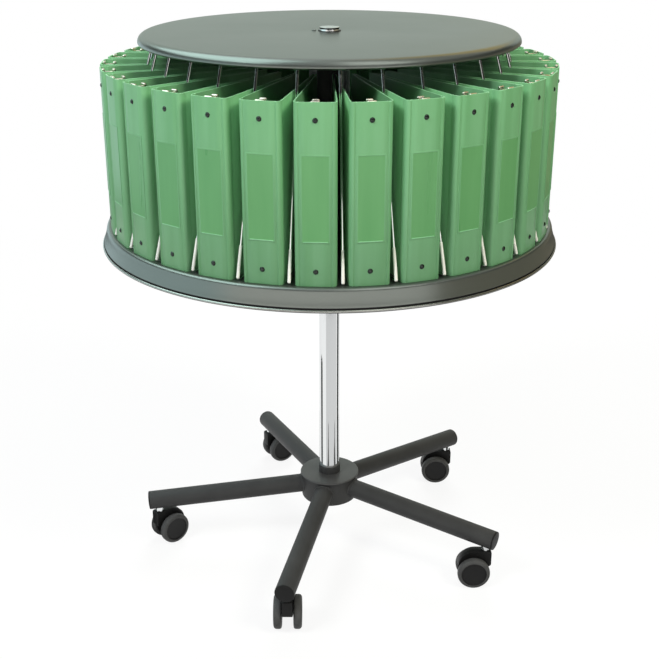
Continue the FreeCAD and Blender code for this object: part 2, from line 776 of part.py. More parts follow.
doc.recompute()
failed = [item.Name for item in doc.Objects if {"Invalid", "Error"} & set(item.State)]
failed += [node.Label for node in nodes if node.Shape.isNull() or not node.Shape.isValid()]
if failed:
    raise RuntimeError("these objects failed: " + ", ".join(failed))

os.makedirs("parts", exist_ok=True)
for node in nodes:
    node.Shape.exportStep(f"parts/{node.Label}.step")
print(len(nodes), "nodes written")
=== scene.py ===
# %% [markdown]
# # A rotary filing cabinet, dressed in Blender
#
# Thirty ring binders stand on a round tray between wire dividers. A smaller disc closes the
# tier from above, and a chrome column carries it on a five-armed base with castors.
#
# The CAD model is a fixed frame that decides where everything is and how it moves. Each
# visible piece rides on a CAD body and stands for the CAD node that it replaces. Lengths are
# in millimetres and become metres in the helpers.

# %% Load the CAD frame
import math

import bmesh
import bpy
from bmesh.types import BMEdge, BMVert
from mathutils import Matrix, Vector


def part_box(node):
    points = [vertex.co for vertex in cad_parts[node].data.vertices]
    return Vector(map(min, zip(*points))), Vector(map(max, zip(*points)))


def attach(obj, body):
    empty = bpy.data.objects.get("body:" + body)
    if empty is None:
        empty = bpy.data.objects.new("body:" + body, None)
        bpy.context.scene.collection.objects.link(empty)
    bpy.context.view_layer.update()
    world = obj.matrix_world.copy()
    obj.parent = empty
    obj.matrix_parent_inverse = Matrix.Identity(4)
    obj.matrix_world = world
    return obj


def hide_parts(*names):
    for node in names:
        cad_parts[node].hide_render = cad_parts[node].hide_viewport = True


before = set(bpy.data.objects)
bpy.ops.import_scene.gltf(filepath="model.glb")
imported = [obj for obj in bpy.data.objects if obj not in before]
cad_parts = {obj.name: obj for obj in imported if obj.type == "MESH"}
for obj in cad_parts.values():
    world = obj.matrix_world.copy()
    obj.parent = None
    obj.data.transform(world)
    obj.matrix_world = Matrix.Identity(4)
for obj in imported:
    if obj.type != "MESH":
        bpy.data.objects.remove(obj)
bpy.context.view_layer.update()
MM = 0.001
MERGE_DISTANCE = 1e-6


def low(node):
    """The lowest corner of a CAD node, in mm."""
    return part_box(node)[0] / MM


def high(node):
    """The highest corner of a CAD node, in mm."""
    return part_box(node)[1] / MM


def placed(name, data):
    """Puts a new object with its data into the scene."""
    thing = bpy.data.objects.new(name, data)
    bpy.context.scene.collection.objects.link(thing)
    return thing


# %% [markdown]
# ## Camera
#
# The view is a little above the top disc and looks down by 22 degrees. A wide lens close up
# would also frame the cabinet, but make the front binders far bigger than the rest.

# %% Set the camera
camera_data = bpy.data.cameras.new("studio_camera")
camera_data.sensor_width = 36
camera_data.lens = 62.13
camera = placed("studio_camera", camera_data)
camera.location = (0, -2.2957, 1.4377)
camera.rotation_euler = (math.radians(68.05), 0, 0)
bpy.context.scene.camera = camera
bpy.context.scene.view_settings.view_transform = "Standard"
print("camera at", tuple(camera.location))

# %% [markdown]
# ## Helpers for finishes
#
# A finish is a Principled shader with procedural patterns on Object coordinates, so a
# pattern keeps its real size on every piece. Colours are sRGB hex values, as in a paint
# chart, and pattern sizes are in mm.

# %% Colour, node and pattern helpers
# The colour mix node's sockets go by number, because its other kinds share their names.
MIX_FIRST, MIX_SECOND, MIX_RESULT = 6, 7, 2


def linear(hex_colour):
    """An sRGB colour such as '6CB07D' as linear RGBA, by the constants of the sRGB standard."""
    parts = [int(hex_colour[start:start + 2], 16) / 255 for start in (0, 2, 4)]
    return [part / 12.92 if part <= 0.04045 else ((part + 0.055) / 1.055) ** 2.4
            for part in parts] + [1]


def add(tree, kind, settings={}, values={}, links={}):
    """Adds a node, sets its properties and its input values, and links its inputs."""
    made = tree.nodes.new(kind)
    for name, value in settings.items():
        setattr(made, name, value)
    for name, value in values.items():
        made.inputs[name].default_value = value
    for name, source in links.items():
        tree.links.new(source, made.inputs[name])
    return made


def fresh_nodes(holder):
    """Turns on the nodes of a material or a world and empties its tree."""
    holder.use_nodes = True
    holder.node_tree.nodes.clear()
    return holder.node_tree


def per_metre(size_mm):
    """The texture scale that gives features of a size in mm."""
    return 1 / (size_mm * MM)


def finish(name, colours, roughness, drift_mm, grain_mm, grain_depth_mm, stretch=(1, 1, 1),
           **shader_values):
    """A finish whose colour and roughness drift between two values, with a fine raised grain."""
    material = bpy.data.materials.new(name)
    tree = fresh_nodes(material)
    place = add(tree, "ShaderNodeTexCoord")
    stretched = add(tree, "ShaderNodeMapping", values={"Scale": stretch},
                    links={"Vector": place.outputs["Object"]})
    drift = add(tree, "ShaderNodeTexNoise", values={"Scale": per_metre(drift_mm), "Detail": 3.0},
                links={"Vector": stretched.outputs[0]})
    share = add(tree, "ShaderNodeMapRange", values={"From Min": 0.3, "From Max": 0.7},
                links={"Value": drift.outputs[0]})
    colour = add(tree, "ShaderNodeMix", {"data_type": "RGBA"},
                 {MIX_FIRST: linear(colours[0]), MIX_SECOND: linear(colours[1])},
                 {0: share.outputs[0]})
    rough = add(tree, "ShaderNodeMapRange", values={"To Min": roughness[0], "To Max": roughness[1]},
                links={"Value": share.outputs[0]})
    grain = add(tree, "ShaderNodeTexNoise", values={"Scale": per_metre(grain_mm), "Detail": 2.0},
                links={"Vector": stretched.outputs[0]})
    bump = add(tree, "ShaderNodeBump", values={"Strength": 1.0, "Distance": grain_depth_mm * MM},
               links={"Height": grain.outputs[0]})
    shader = add(tree, "ShaderNodeBsdfPrincipled", values=shader_values,
                 links={"Base Color": colour.outputs[MIX_RESULT], "Roughness": rough.outputs[0],
                        "Normal": bump.outputs[0]})
    add(tree, "ShaderNodeOutputMaterial", links={"Surface": shader.outputs[0]})
    return material


# %% [markdown]
# ## The finishes
#
# Each starts from what the real surface is and how it was made. Grain finer than a pixel
# is drawn coarser than it is, just enough to break up the highlights.

# %% Metal finishes
# Polyester powder coat: charcoal, softly satin, a tight orange peel. Its fine texture
# scatters the light, so it mirrors less, as do the nylon and the treads below.
powder_coat = finish("charcoal_powder_coat", ("353535", "3F3F3F"), (0.5, 0.6), 70, 1.6, 0.05,
                     **{"Specular IOR Level": 0.28})

# The hub's top plate has its own coat, smoother than the tubes; its colour is painted a shade lighter as
# the light that falls on its top.
plate_coat_painted_light = finish("painted_light_plate_coat", ("424242", "4A4A4A"), (0.28, 0.36), 60, 2.4, 0.02)

# Stoved metallic lacquer on spun sheet steel: aluminium flake in a dark, slightly green
# binder, so it mirrors the room softly and its rolled edges catch bright lines.
disc_lacquer = finish("disc_lacquer", ("767C78", "7D837F"), (0.28, 0.33), 160, 3.0, 0.0012,
                      Metallic=0.85)

# A satin, bright metal on the rolled bead at the foot of the tray's skirt: a painted highlight, brighter
# than the lacquer, so the bead shows as a bright line.
bead_highlight_metal = finish("bead_painted_highlight", ("A6A8A3", "B2B4AF"), (0.22, 0.3), 40, 1.0, 0.002,
                   Metallic=1.0)

# Chrome plate on drawn tube: a clear mirror with faint lengthwise polishing marks.
chrome = finish("bright_chrome", ("E4E6E7", "ECEEEE"), (0.05, 0.09), 30, 2.0, 0.001, (1, 1, 0.02),
                Metallic=1.0)

# Zinc-plated steel: dull silver with a faint spangle.
zinc = finish("zinc_plate", ("9FA6A6", "AFB3AE"), (0.3, 0.42), 9, 1.2, 0.01, Metallic=1.0)

# Galvanised steel strip with no mirror left: its near-white grey-green is painted light, so the straps
# read as lit in the shade under the top disc.
strap_painted_light = finish("painted_light_strap_grey", ("DCE6E2", "E6EEEA"), (0.5, 0.6), 12, 1.2, 0.01)

# Nickel-plated pressed steel of the ring mechanisms: warm and fairly bright.
nickel = finish("nickel_plate", ("E3DCCB", "EFE9DB"), (0.22, 0.32), 14, 1.5, 0.006, Metallic=1.0)

# Gunmetal of the rivets: a dark, clear mirror. On the spindle cap's edge it is painted shade, darker
# than the cap's chrome top.
gunmetal_and_cap_shade = finish("gunmetal_and_painted_cap_shade", ("3C423E", "484E4A"), (0.06, 0.1), 4, 0.8, 0.002,
                     Metallic=1.0)
print("metal finishes made")

# %% Plastic finishes
# Injection-moulded nylon: black, satin, with a fine spark-eroded texture.
black_nylon = finish("black_nylon", ("131313", "1A1A1A"), (0.44, 0.56), 25, 0.9, 0.03,
                     **{"Specular IOR Level": 0.25})

# Cast polyurethane tread: dark grey, dull and slightly scuffed.
tread_rubber = finish("polyurethane_tread", ("404040", "4C4C4C"), (0.46, 0.6), 12, 1.4, 0.03,
                      **{"Specular IOR Level": 0.35})

# Turned acetal bushes: white and waxy.
acetal = finish("white_acetal", ("DEDDD8", "E8E7E3"), (0.3, 0.38), 20, 1.5, 0.004)

# A near-black, dull finish painted as shade: in the tray's groove, along the foot of its lip, and on the
# ring round the top disc's hole.
groove_shade_black = finish("painted_shade_black", ("0E0E0E", "151515"), (0.6, 0.7), 15, 1.0, 0.01)

# Vinyl sleeve on the dividers' feet: cream white and fairly dull.
white_vinyl = finish("cream_vinyl_sleeve", ("F0EEE6", "F6F4EE"), (0.38, 0.46), 20, 1.6, 0.004)

# Extruded polypropylene film over board: green, with an embossed grain and calender streaks
# that run up the binder.
green_film = finish("green_polypropylene", ("6BA672", "77B07F"), (0.36, 0.46), 22, 1.3, 0.02,
                    (1, 1, 0.06))

# The film's rims that face up or down: paler and smoother; the paler green is a painted highlight where
# the edges catch the light.
film_rim_highlight = finish("film_rim_painted_highlight", ("84C490", "92CE9D"), (0.3, 0.4), 15, 2.0, 0.01)

# Clear film welded over the spine as a label pocket: it deepens the green and shines.
pocket_film = finish("clear_pocket_film", ("60A064", "69A86C"), (0.26, 0.36), 30, 6.0, 0.012,
                     (1, 1, 0.1))
print(len(bpy.data.materials), "materials in the file")

# %% [markdown]
# ## Helpers for shapes
#
# Most pieces are turned or bent, so one helper spins an outline about Z and another bends a
# round bar. A cylinder could be pushed into shape instead, but an outline keeps radii exact.

# %% Place and keep a mesh
def mesh_of(bm, name="scratch"):
    """Writes a bmesh to a new mesh and frees it."""
    mesh = bpy.data.meshes.new(name)
    bm.to_mesh(mesh)
    bm.free()
    return mesh


def keep(bm, name, finishes, body, stands_for=(), crease=32):
    """Makes a bmesh a finished piece: merged, facing outwards, smooth up to a crease angle."""
    bmesh.ops.remove_doubles(bm, verts=bm.verts, dist=MERGE_DISTANCE)
    bmesh.ops.recalc_face_normals(bm, faces=bm.faces)
    mesh = mesh_of(bm, name)
    mesh.shade_smooth()
    mesh.set_sharp_from_angle(angle=math.radians(crease))
    for material in finishes if isinstance(finishes, (list, tuple)) else [finishes]:
        mesh.materials.append(material)
    piece = placed(name, mesh)
    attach(piece, body)
    if stands_for:
        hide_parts(*stands_for)
    return piece


def moved(bm, offset):
    """Moves a bmesh by an offset in mm."""
    bmesh.ops.translate(bm, verts=bm.verts, vec=Vector(offset) * MM)
    return bm


def rotated(bm, degrees, axis="Z"):
    """Turns a bmesh about an axis through the origin."""
    spin = Matrix.Rotation(math.radians(degrees), 3, axis)
    bmesh.ops.rotate(bm, verts=bm.verts, cent=(0, 0, 0), matrix=spin)
    return bm


def turned(bm, azimuth):
    """Turns a shape that points along +X to an azimuth: 0 is the front, 90 is +X."""
    return rotated(bm, azimuth - 90)


def laid_along(bm, start, direction):
    """Points a shape's Z axis along a direction and moves its origin to start, in mm."""
    lean = Vector(direction).to_track_quat("Z", "Y").to_matrix()
    bmesh.ops.rotate(bm, verts=bm.verts, cent=(0, 0, 0), matrix=lean)
    return moved(bm, start)


def joined(*shapes):
    """Puts several shapes into one bmesh."""
    whole = bmesh.new()
    for shape in shapes:
        scratch = mesh_of(shape)
        whole.from_mesh(scratch)
        bpy.data.meshes.remove(scratch)
    return whole


# %% Spin, box, bend and pierce
def rounded(bm, point, rounding, steps):
    """Rounds an outline's corner at a point, by mm."""
    bmesh.ops.bevel(bm, geom=[point], offset=rounding * MM, offset_type="OFFSET", affect="VERTICES",
                    segments=steps, profile=0.5, material=-1)


def swept(bm, degrees, steps):
    """Spins all of a shape about the Z axis, and closes a full turn."""
    bmesh.ops.spin(bm, geom=bm.verts[:] + bm.edges[:], cent=(0, 0, 0), axis=(0, 0, 1),
                   dvec=(0, 0, 0), angle=math.radians(degrees), steps=steps,
                   use_merge=degrees == 360, use_duplicate=False)


def only(kind, items):
    """The vertices or the edges among what an operator gives back."""
    return [item for item in items if isinstance(item, kind)]


def lathe(corners, steps=96, corner_steps=4):
    """Spins an outline of (radius, height) or (radius, height, rounding) corners about Z."""
    bm = bmesh.new()
    points = [bm.verts.new((corner[0] * MM, 0, corner[1] * MM)) for corner in corners]
    for start, end in zip(points, points[1:] + points[:1]):
        if start.co.x > 0 or end.co.x > 0:
            bm.edges.new((start, end))
    for point, corner in zip(points, corners):
        if len(corner) == 3:
            rounded(bm, point, corner[2], corner_steps)
    swept(bm, 360, steps)
    bmesh.ops.remove_doubles(bm, verts=bm.verts, dist=MERGE_DISTANCE)
    bmesh.ops.recalc_face_normals(bm, faces=bm.faces)
    return bm


def sharp_edges(bm, degrees=50):
    """The edges where two faces meet at more than an angle."""
    bm.normal_update()
    return [edge for edge in bm.edges
            if edge.is_manifold and edge.calc_face_angle() > math.radians(degrees)]


def softened(bm, rounding, steps=2, degrees=50):
    """Rounds the sharp edges of a shape, by mm."""
    bmesh.ops.bevel(bm, geom=sharp_edges(bm, degrees), offset=rounding * MM, offset_type="OFFSET",
                    affect="EDGES", segments=steps, profile=0.5, material=-1)
    return bm


def block(low_corner, high_corner, rounding, steps=2):
    """A box between two corners in mm, with rounded edges."""
    bm = bmesh.new()
    bmesh.ops.create_cube(bm, size=1)
    low_corner, high_corner = Vector(low_corner), Vector(high_corner)
    bmesh.ops.scale(bm, vec=(high_corner - low_corner) * MM, verts=bm.verts)
    return softened(moved(bm, (low_corner + high_corner) / 2), rounding, steps)


def pushed(bm, rim, offset=(0, 0, 0), widen=1.0):
    """Extrudes a loop of edges, widens it about the Z axis and moves it; returns the new loop."""
    made = bmesh.ops.extrude_edge_only(bm, edges=rim)["geom"]
    points = only(BMVert, made)
    bmesh.ops.scale(bm, verts=points, vec=(widen, widen, 1))
    bmesh.ops.translate(bm, verts=points, vec=Vector(offset) * MM)
    return [edge for edge in only(BMEdge, made) if set(edge.verts) <= set(points)]


BAR_END_ROUNDING = 0.3


def bent_bar(radius, start, runs, turns, bend, sides=12, bend_steps=6):
    """A round bar in the XZ plane that sets out along +X: straight runs joined by bends."""
    bm = bmesh.new()
    bmesh.ops.create_circle(bm, cap_ends=False, segments=sides, radius=radius * MM)
    laid_along(bm, start, (1, 0, 0))
    rim = bm.edges[:]
    heading, place = 0.0, Vector(start)
    for number, length in enumerate(runs):
        step = Vector((math.cos(heading), 0, math.sin(heading))) * length
        rim = pushed(bm, rim, step)
        place += step
        if number < len(turns):
            turn = math.radians(turns[number])
            centre = place + Vector((-math.sin(heading), 0, math.cos(heading))) * bend
            spun = bmesh.ops.spin(bm, geom=rim, cent=centre * MM, axis=(0, -1, 0), dvec=(0, 0, 0),
                                  angle=turn, steps=bend_steps, use_merge=False,
                                  use_duplicate=False)["geom_last"]
            rim = only(BMEdge, spun)
            place = centre + Matrix.Rotation(turn, 3, (0, -1, 0)) @ (place - centre)
            heading += turn
    bmesh.ops.holes_fill(bm, edges=[edge for edge in bm.edges if edge.is_boundary], sides=sides)
    return softened(bm, radius * BAR_END_ROUNDING, 2, 70)


def pierced(solid, tool):
    """Cuts one shape out of another with an exact boolean."""
    holders = [placed("scratch", mesh_of(shape)) for shape in (solid, tool)]
    cut = holders[0].modifiers.new("cut", "BOOLEAN")
    cut.object = holders[1]
    cut.solver = "EXACT"
    result = bmesh.new()
    result.from_object(holders[0], bpy.context.evaluated_depsgraph_get())
    for holder in holders:
        bpy.data.meshes.remove(holder.data)
    return result


print("shape helpers ready")

# %% [markdown]
# ## Hub of the base
#
# The hub is a thick steel drum with a plate welded on top. One spun outline gives the
# rounded foot, the overhanging plate and the socket for the column at once, where a
# cylinder with booleans would need cleaning up.

# %% Hub, collar and column
DRUM_RADIUS = 63
PLATE_THICKNESS = 5
PAINTED_LIGHT_SKIN = 2
hub_floor = low("column_tube").z
hub_low, hub_high = low("base_hub").z, high("base_hub").z
plate_radius = high("base_hub").x
column_radius = high("column_tube").x

hub = lathe([(0, hub_low), (DRUM_RADIUS, hub_low, 6), (DRUM_RADIUS, hub_high - PLATE_THICKNESS, 0.4),
             (plate_radius, hub_high - PLATE_THICKNESS, 0.8), (plate_radius, hub_high, 2.4),
             (column_radius, hub_high), (column_radius, hub_floor), (0, hub_floor)], 128)
# The faces near the top take the plate's coat, painted a shade lighter as light on the plate's top.
for face in hub.faces:
    face.material_index = 1 if face.calc_center_median().z > (hub_high - PAINTED_LIGHT_SKIN) * MM else 0
keep(hub, "hub_drum", [powder_coat, plate_coat_painted_light], "base", ["base_hub"])

collar = high("hub_collar")
keep(lathe([(column_radius, hub_high), (collar.x, hub_high, 0.3), (collar.x, collar.z, 0.8),
            (column_radius, collar.z)]),
     "column_foot_collar", powder_coat, "base", ["hub_collar"])

spindle_radius = high("spindle").x
column_top = high("column_tube").z
keep(lathe([(spindle_radius, hub_floor), (column_radius, hub_floor), (column_radius, column_top, 0.5),
            (spindle_radius, column_top)]),
     "column", chrome, "base", ["column_tube"])
print("hub", round(hub_low, 1), "to", round(hub_high, 1), "mm, column to", round(column_top, 1), "mm")

# %% [markdown]
# ## Spindle, collar and thrust bearing
#
# The carousel turns on a thinner tube inside the column, which ends in a flat cap in the
# middle of the top disc. A collar and a ball bearing carry the weight. The balls are small
# spheres copied round a circle.

# %% Spindle and bearing
SPINDLE_WALL = 3
CAP_THICKNESS = 3
CAP_SHADE_BELOW = 0.3
RING_HEIGHT = 0.4
RING_INSET = 0.7
cap_top = high("spindle").z
cap_seat = cap_top - CAP_THICKNESS
ring_foot = cap_seat - RING_HEIGHT
ring_radius = spindle_radius - RING_INSET
keep(lathe([(spindle_radius - SPINDLE_WALL, low("spindle").z), (spindle_radius, low("spindle").z, 0.5),
            (spindle_radius, ring_foot, 0.3), (spindle_radius - SPINDLE_WALL, ring_foot)]),
     "spindle_tube", chrome, "base", ["spindle"])
cap = lathe([(0, ring_foot), (ring_radius, ring_foot), (ring_radius, cap_seat),
             (spindle_radius, cap_seat, 0.3), (spindle_radius, cap_top, 0.8), (0, cap_top)])
# Below its top the cap takes the gunmetal: painted shade on its edge and on the ring under it.
for face in cap.faces:
    face.material_index = 1 if face.calc_center_median().z < (cap_top - CAP_SHADE_BELOW) * MM else 0
keep(cap, "spindle_cap", [chrome, gunmetal_and_cap_shade], "base")

collar_low, collar_high = low("thrust_collar").z, high("thrust_collar")
keep(lathe([(spindle_radius, collar_low), (collar_high.x, collar_low, 1),
            (collar_high.x, collar_high.z, 1), (spindle_radius, collar_high.z)]),
     "thrust_collar_ring", zinc, "base", ["thrust_collar"])

WASHER = 2
WASHER_FIT = 0.05
BALL_RADIUS = 2
BALLS = 20
bearing_low, bearing_high = low("thrust_bearing").z, high("thrust_bearing")
race_radius = (spindle_radius + bearing_high.x) / 2
washer_bore = spindle_radius + WASHER_FIT
bearing_parts = [lathe([(washer_bore, bottom), (bearing_high.x, bottom, 0.4),
                        (bearing_high.x, bottom + WASHER, 0.4), (washer_bore, bottom + WASHER)])
                 for bottom in (bearing_low, bearing_high.z - WASHER)]
for number in range(BALLS):
    ball = bmesh.new()
    bmesh.ops.create_icosphere(ball, subdivisions=2, radius=BALL_RADIUS * MM)
    bearing_parts.append(turned(moved(ball, (race_radius, 0, (bearing_low + bearing_high.z) / 2)),
                                360 / BALLS * number))
keep(joined(*bearing_parts), "thrust_ball_bearing", zinc, "base", ["thrust_bearing"])
print("cap top at", round(cap_top, 1), "mm,", BALLS, "balls")

# %% [markdown]
# ## Arms
#
# Five tubes slope down from the drum to the castors, each with a nylon cap. The weld bead
# at its root is a small torus whose points are moved onto the round wall of the drum.

# %% Arms with welds and caps
ARM_COUNT = 5
FIRST_ARM = -12.6
ARM_SLOPE = math.radians(4.5)
ARM_RADIUS = 20.5
ARM_WALL = 2.5
CASTOR_CIRCLE = 390
ARM_ROOT = 58
ARM_REACH = 412
CAP_FACE = 3
CAP_NECK = 0.4
CAP_NECK_LENGTH = 0.5
CAP_SHOULDER = 0.6
SOCKET_SHOWN = 8
BEAD_RADIUS = 2.4
BEAD_SUNK = 0.4
BEAD_PROUD = 1.1

socket_low = low("castor_sockets").z
arm_azimuths = [FIRST_ARM + 360 / ARM_COUNT * number for number in range(ARM_COUNT)]
arm_direction = (math.cos(ARM_SLOPE), 0, -math.sin(ARM_SLOPE))
arm_length = (ARM_REACH - ARM_ROOT) / math.cos(ARM_SLOPE) - CAP_FACE


def on_arm(x):
    """The point on the arm's axis at a distance from the column."""
    height_at_castor = socket_low + SOCKET_SHOWN + ARM_RADIUS / math.cos(ARM_SLOPE)
    return Vector((x, 0, height_at_castor + (CASTOR_CIRCLE - x) * math.tan(ARM_SLOPE)))


def weld_bead():
    """A bead around the arm that follows the drum's wall."""
    inner, outer = ARM_RADIUS - BEAD_RADIUS * BEAD_SUNK, ARM_RADIUS + BEAD_RADIUS * BEAD_PROUD
    half = BEAD_RADIUS
    bead = lathe([(inner, -half, half * 0.6), (outer, -half, half * 0.9), (outer, half, half * 0.9),
                  (inner, half, half * 0.6)], 48)
    laid_along(bead, on_arm(DRUM_RADIUS), arm_direction)
    for point in bead.verts:
        point.co.x += (math.sqrt(DRUM_RADIUS ** 2 - (point.co.y / MM) ** 2) - DRUM_RADIUS) * MM
    return bead


for number, azimuth in enumerate(arm_azimuths, start=1):
    tube = lathe([(ARM_RADIUS - ARM_WALL, 0), (ARM_RADIUS, 0), (ARM_RADIUS, arm_length, 0.5),
                  (ARM_RADIUS - ARM_WALL, arm_length)], 64)
    tube = laid_along(tube, on_arm(ARM_ROOT), arm_direction)
    keep(turned(tube, azimuth), f"arm_tube_{number}", powder_coat, "base",
         [f"base_arm_{number}"])
    keep(turned(weld_bead(), azimuth), f"arm_weld_{number}", powder_coat, "base")
    cap_start = on_arm(ARM_ROOT) + Vector(arm_direction) * arm_length
    cap = lathe([(0, 0), (ARM_RADIUS - CAP_NECK, 0), (ARM_RADIUS - CAP_NECK, CAP_NECK_LENGTH),
                 (ARM_RADIUS, CAP_SHOULDER), (ARM_RADIUS, CAP_FACE, 1.3), (0, CAP_FACE)], 64)
    keep(turned(laid_along(cap, cap_start, arm_direction), azimuth), f"arm_cap_{number}", black_nylon,
         "base", ["arm_end_caps"])
print(ARM_COUNT, "arms,", round(arm_length), "mm long")

# %% [markdown]
# ## Castors
#
# A moulded hood fills the gap between the two wheels, and a steel stem turns in a chrome
# socket. The hood is an outline with rounded corners, extruded and softened along its rims.
# A castor is built with its stem on the Z axis and its wheels trailing along +X, then turned
# and moved to its arm.

# %% Hood, stem and axle
TRAILS = (180, -90, -90, 120, 130)
TRAIL = 25
AXLE_HEIGHT = 35
HOOD_HALF_WIDTH = 11.2
# Corners of the hood's side: distance along the trail, height and rounding.
HOOD_OUTLINE = [(-13, 48, 3), (-13, 82, 4), (58, 82, 36), (58, 42, 2), (25, 27, 7)]
LARGE_ROUNDING = 20
RECESS_BORDER = 2.2
RECESS_DEPTH = 0.8
STEM_FOOT = 69
STEM_RADIUS = 5.5
AXLE_RADIUS = 4
AXLE_HALF = 24


def hood_shape():
    """The hood between the wheels, with a shallow recess in each side."""
    bm = bmesh.new()
    corners = [bm.verts.new((x * MM, -HOOD_HALF_WIDTH * MM, z * MM)) for x, z, _ in HOOD_OUTLINE]
    bmesh.ops.contextual_create(bm, geom=corners)
    for corner, (_, _, rounding) in zip(corners, HOOD_OUTLINE):
        rounded(bm, corner, rounding, 14 if rounding > LARGE_ROUNDING else 4)
    made = bmesh.ops.extrude_face_region(bm, geom=bm.faces[:])["geom"]
    far_side = only(BMVert, made)
    bmesh.ops.translate(bm, verts=far_side, vec=(0, 2 * HOOD_HALF_WIDTH * MM, 0))
    bmesh.ops.recalc_face_normals(bm, faces=bm.faces)
    sides = [face for face in bm.faces if abs(face.normal.y) > 0.9]
    bmesh.ops.inset_individual(bm, faces=sides, thickness=RECESS_BORDER * MM, depth=-RECESS_DEPTH * MM)
    return softened(bm, 0.9, 2, 60)


def pin_shape():
    """The stem and the axle, which share one piece of the frame."""
    stem_head = high("castor_frame_1").z
    stem = lathe([(0, STEM_FOOT), (STEM_RADIUS, STEM_FOOT), (STEM_RADIUS, stem_head, 0.8),
                  (0, stem_head)], 32)
    axle = lathe([(0, -AXLE_HALF), (AXLE_RADIUS, -AXLE_HALF, 0.5), (AXLE_RADIUS, AXLE_HALF, 0.5),
                  (0, AXLE_HALF)], 32)
    return joined(stem, laid_along(axle, (TRAIL, 0, AXLE_HEIGHT), (0, 1, 0)))


def on_castor(bm, number):
    """Turns a castor's shape to its trail and moves it under its arm."""
    azimuth = math.radians(arm_azimuths[number])
    place = (CASTOR_CIRCLE * math.sin(azimuth), -CASTOR_CIRCLE * math.cos(azimuth), 0)
    return moved(turned(bm, TRAILS[number]), place)


for number in range(ARM_COUNT):
    body = f"castor_{number + 1}"
    keep(on_castor(hood_shape(), number), f"castor_hood_{number + 1}", black_nylon, body,
         [f"castor_frame_{number + 1}"])
    keep(on_castor(pin_shape(), number), f"castor_pins_{number + 1}", zinc, body)
print(ARM_COUNT, "castor frames")

# %% [markdown]
# ## Twin wheels and sockets
#
# A grey tread with round shoulders is cast around a black centre with a recessed face. Both
# are spun outlines laid along the axle, one on each side of the hood.

# %% Wheels and sockets
WHEEL_INSIDE = 12
WHEEL_OUTSIDE = 29
TREAD_RADIUS = 35
RIM_RADIUS = 27
RIM_STEP = 0.3
RECESS_RADIUS = 24.8
RECESS_SLOPE = 0.8
RECESS_FACE = 26.6
DISH = 0.5
BORE_RADIUS = 4.05
BORE_END = 24.3
INNER_SHOULDER = 5
OUTER_SHOULDER = 6.5
SOCKET_BORE = 5.6
SOCKET_RADIUS = 9
SOCKET_LENGTH = 16
# A groove round the socket: radius, and height above its lower end.
SOCKET_GROOVE = [(SOCKET_RADIUS, 2.6), (8.3, 2.9), (8.3, 3.9), (SOCKET_RADIUS, 4.2)]


def wheel_pair(corners):
    """One spun shape on each side of the hood, on the axle."""
    return joined(*(laid_along(lathe(corners, 64), (TRAIL, 0, AXLE_HEIGHT), (0, side, 0))
                    for side in (1, -1)))


for number in range(ARM_COUNT):
    body = f"wheels_{number + 1}"
    centres = wheel_pair([(0, BORE_END), (BORE_RADIUS, BORE_END), (BORE_RADIUS, WHEEL_INSIDE),
                          (RIM_RADIUS, WHEEL_INSIDE), (RIM_RADIUS, WHEEL_OUTSIDE - RIM_STEP, 0.4),
                          (RECESS_RADIUS + RECESS_SLOPE, WHEEL_OUTSIDE - RIM_STEP, 0.6),
                          (RECESS_RADIUS, RECESS_FACE, 0.8), (0, RECESS_FACE - DISH)])
    keep(on_castor(centres, number), f"wheel_centres_{number + 1}", black_nylon, body,
         [f"castor_wheels_{number + 1}"])
    treads = wheel_pair([(RIM_RADIUS, WHEEL_INSIDE), (TREAD_RADIUS, WHEEL_INSIDE, INNER_SHOULDER),
                         (TREAD_RADIUS, WHEEL_OUTSIDE, OUTER_SHOULDER),
                         (RIM_RADIUS, WHEEL_OUTSIDE, 0.5)])
    keep(on_castor(treads, number), f"wheel_treads_{number + 1}", tread_rubber, body)

sockets = []
for azimuth in arm_azimuths:
    socket = lathe([(SOCKET_BORE, socket_low), (SOCKET_RADIUS, socket_low, 0.7),
                    *((radius, socket_low + height) for radius, height in SOCKET_GROOVE),
                    (SOCKET_RADIUS, socket_low + SOCKET_LENGTH),
                    (SOCKET_BORE, socket_low + SOCKET_LENGTH)], 48)
    sockets.append(turned(moved(socket, (CASTOR_CIRCLE, 0, 0)), azimuth))
keep(joined(*sockets), "castor_socket_rings", chrome, "base", ["castor_sockets"])
print(2 * ARM_COUNT, "wheels and", ARM_COUNT, "sockets")

# %% [markdown]
# ## Tray and top disc
#
# Both discs are spun from sheet steel. The tray's edge turns down into a flaring skirt with
# a groove and a rolled bead along its foot; the groove is painted black as shade and the bead
# a brighter metal as a painted highlight. An outline with its own rounding at each corner gives
# the rolled edges, with many steps so that rims stay round in reflections.

# %% Tray and top disc
SHEET = 2
DISC_STEPS = 256
BEAD = 5.6
GROOVE = 3.0
EDGE_RADIUS = 457
SHOULDER_OUT, SHOULDER_DROP = 3.9, 20
SKIRT_FOOT = 2.6
LINER = 1.4
BEAD_DEPTH = 4.8
# Which faces take the bead's painted highlight or the painted shade of the groove and the lip's foot, by
# how far in from the lip and how high up they lie.
EDGE_MARK_REACH = 5.2
GROOVE_SHADE_START = 2.3
LIP_FOOT = 1.8
SLACK = 0.1
tray_top = low("slotted_straps").z
tray_low = low("bottom_disc").z
lip_radius = high("bottom_disc").x
SLEEVE_RADIUS = 25
bead_top = tray_low + BEAD
liner_radius = lip_radius - BEAD - LINER

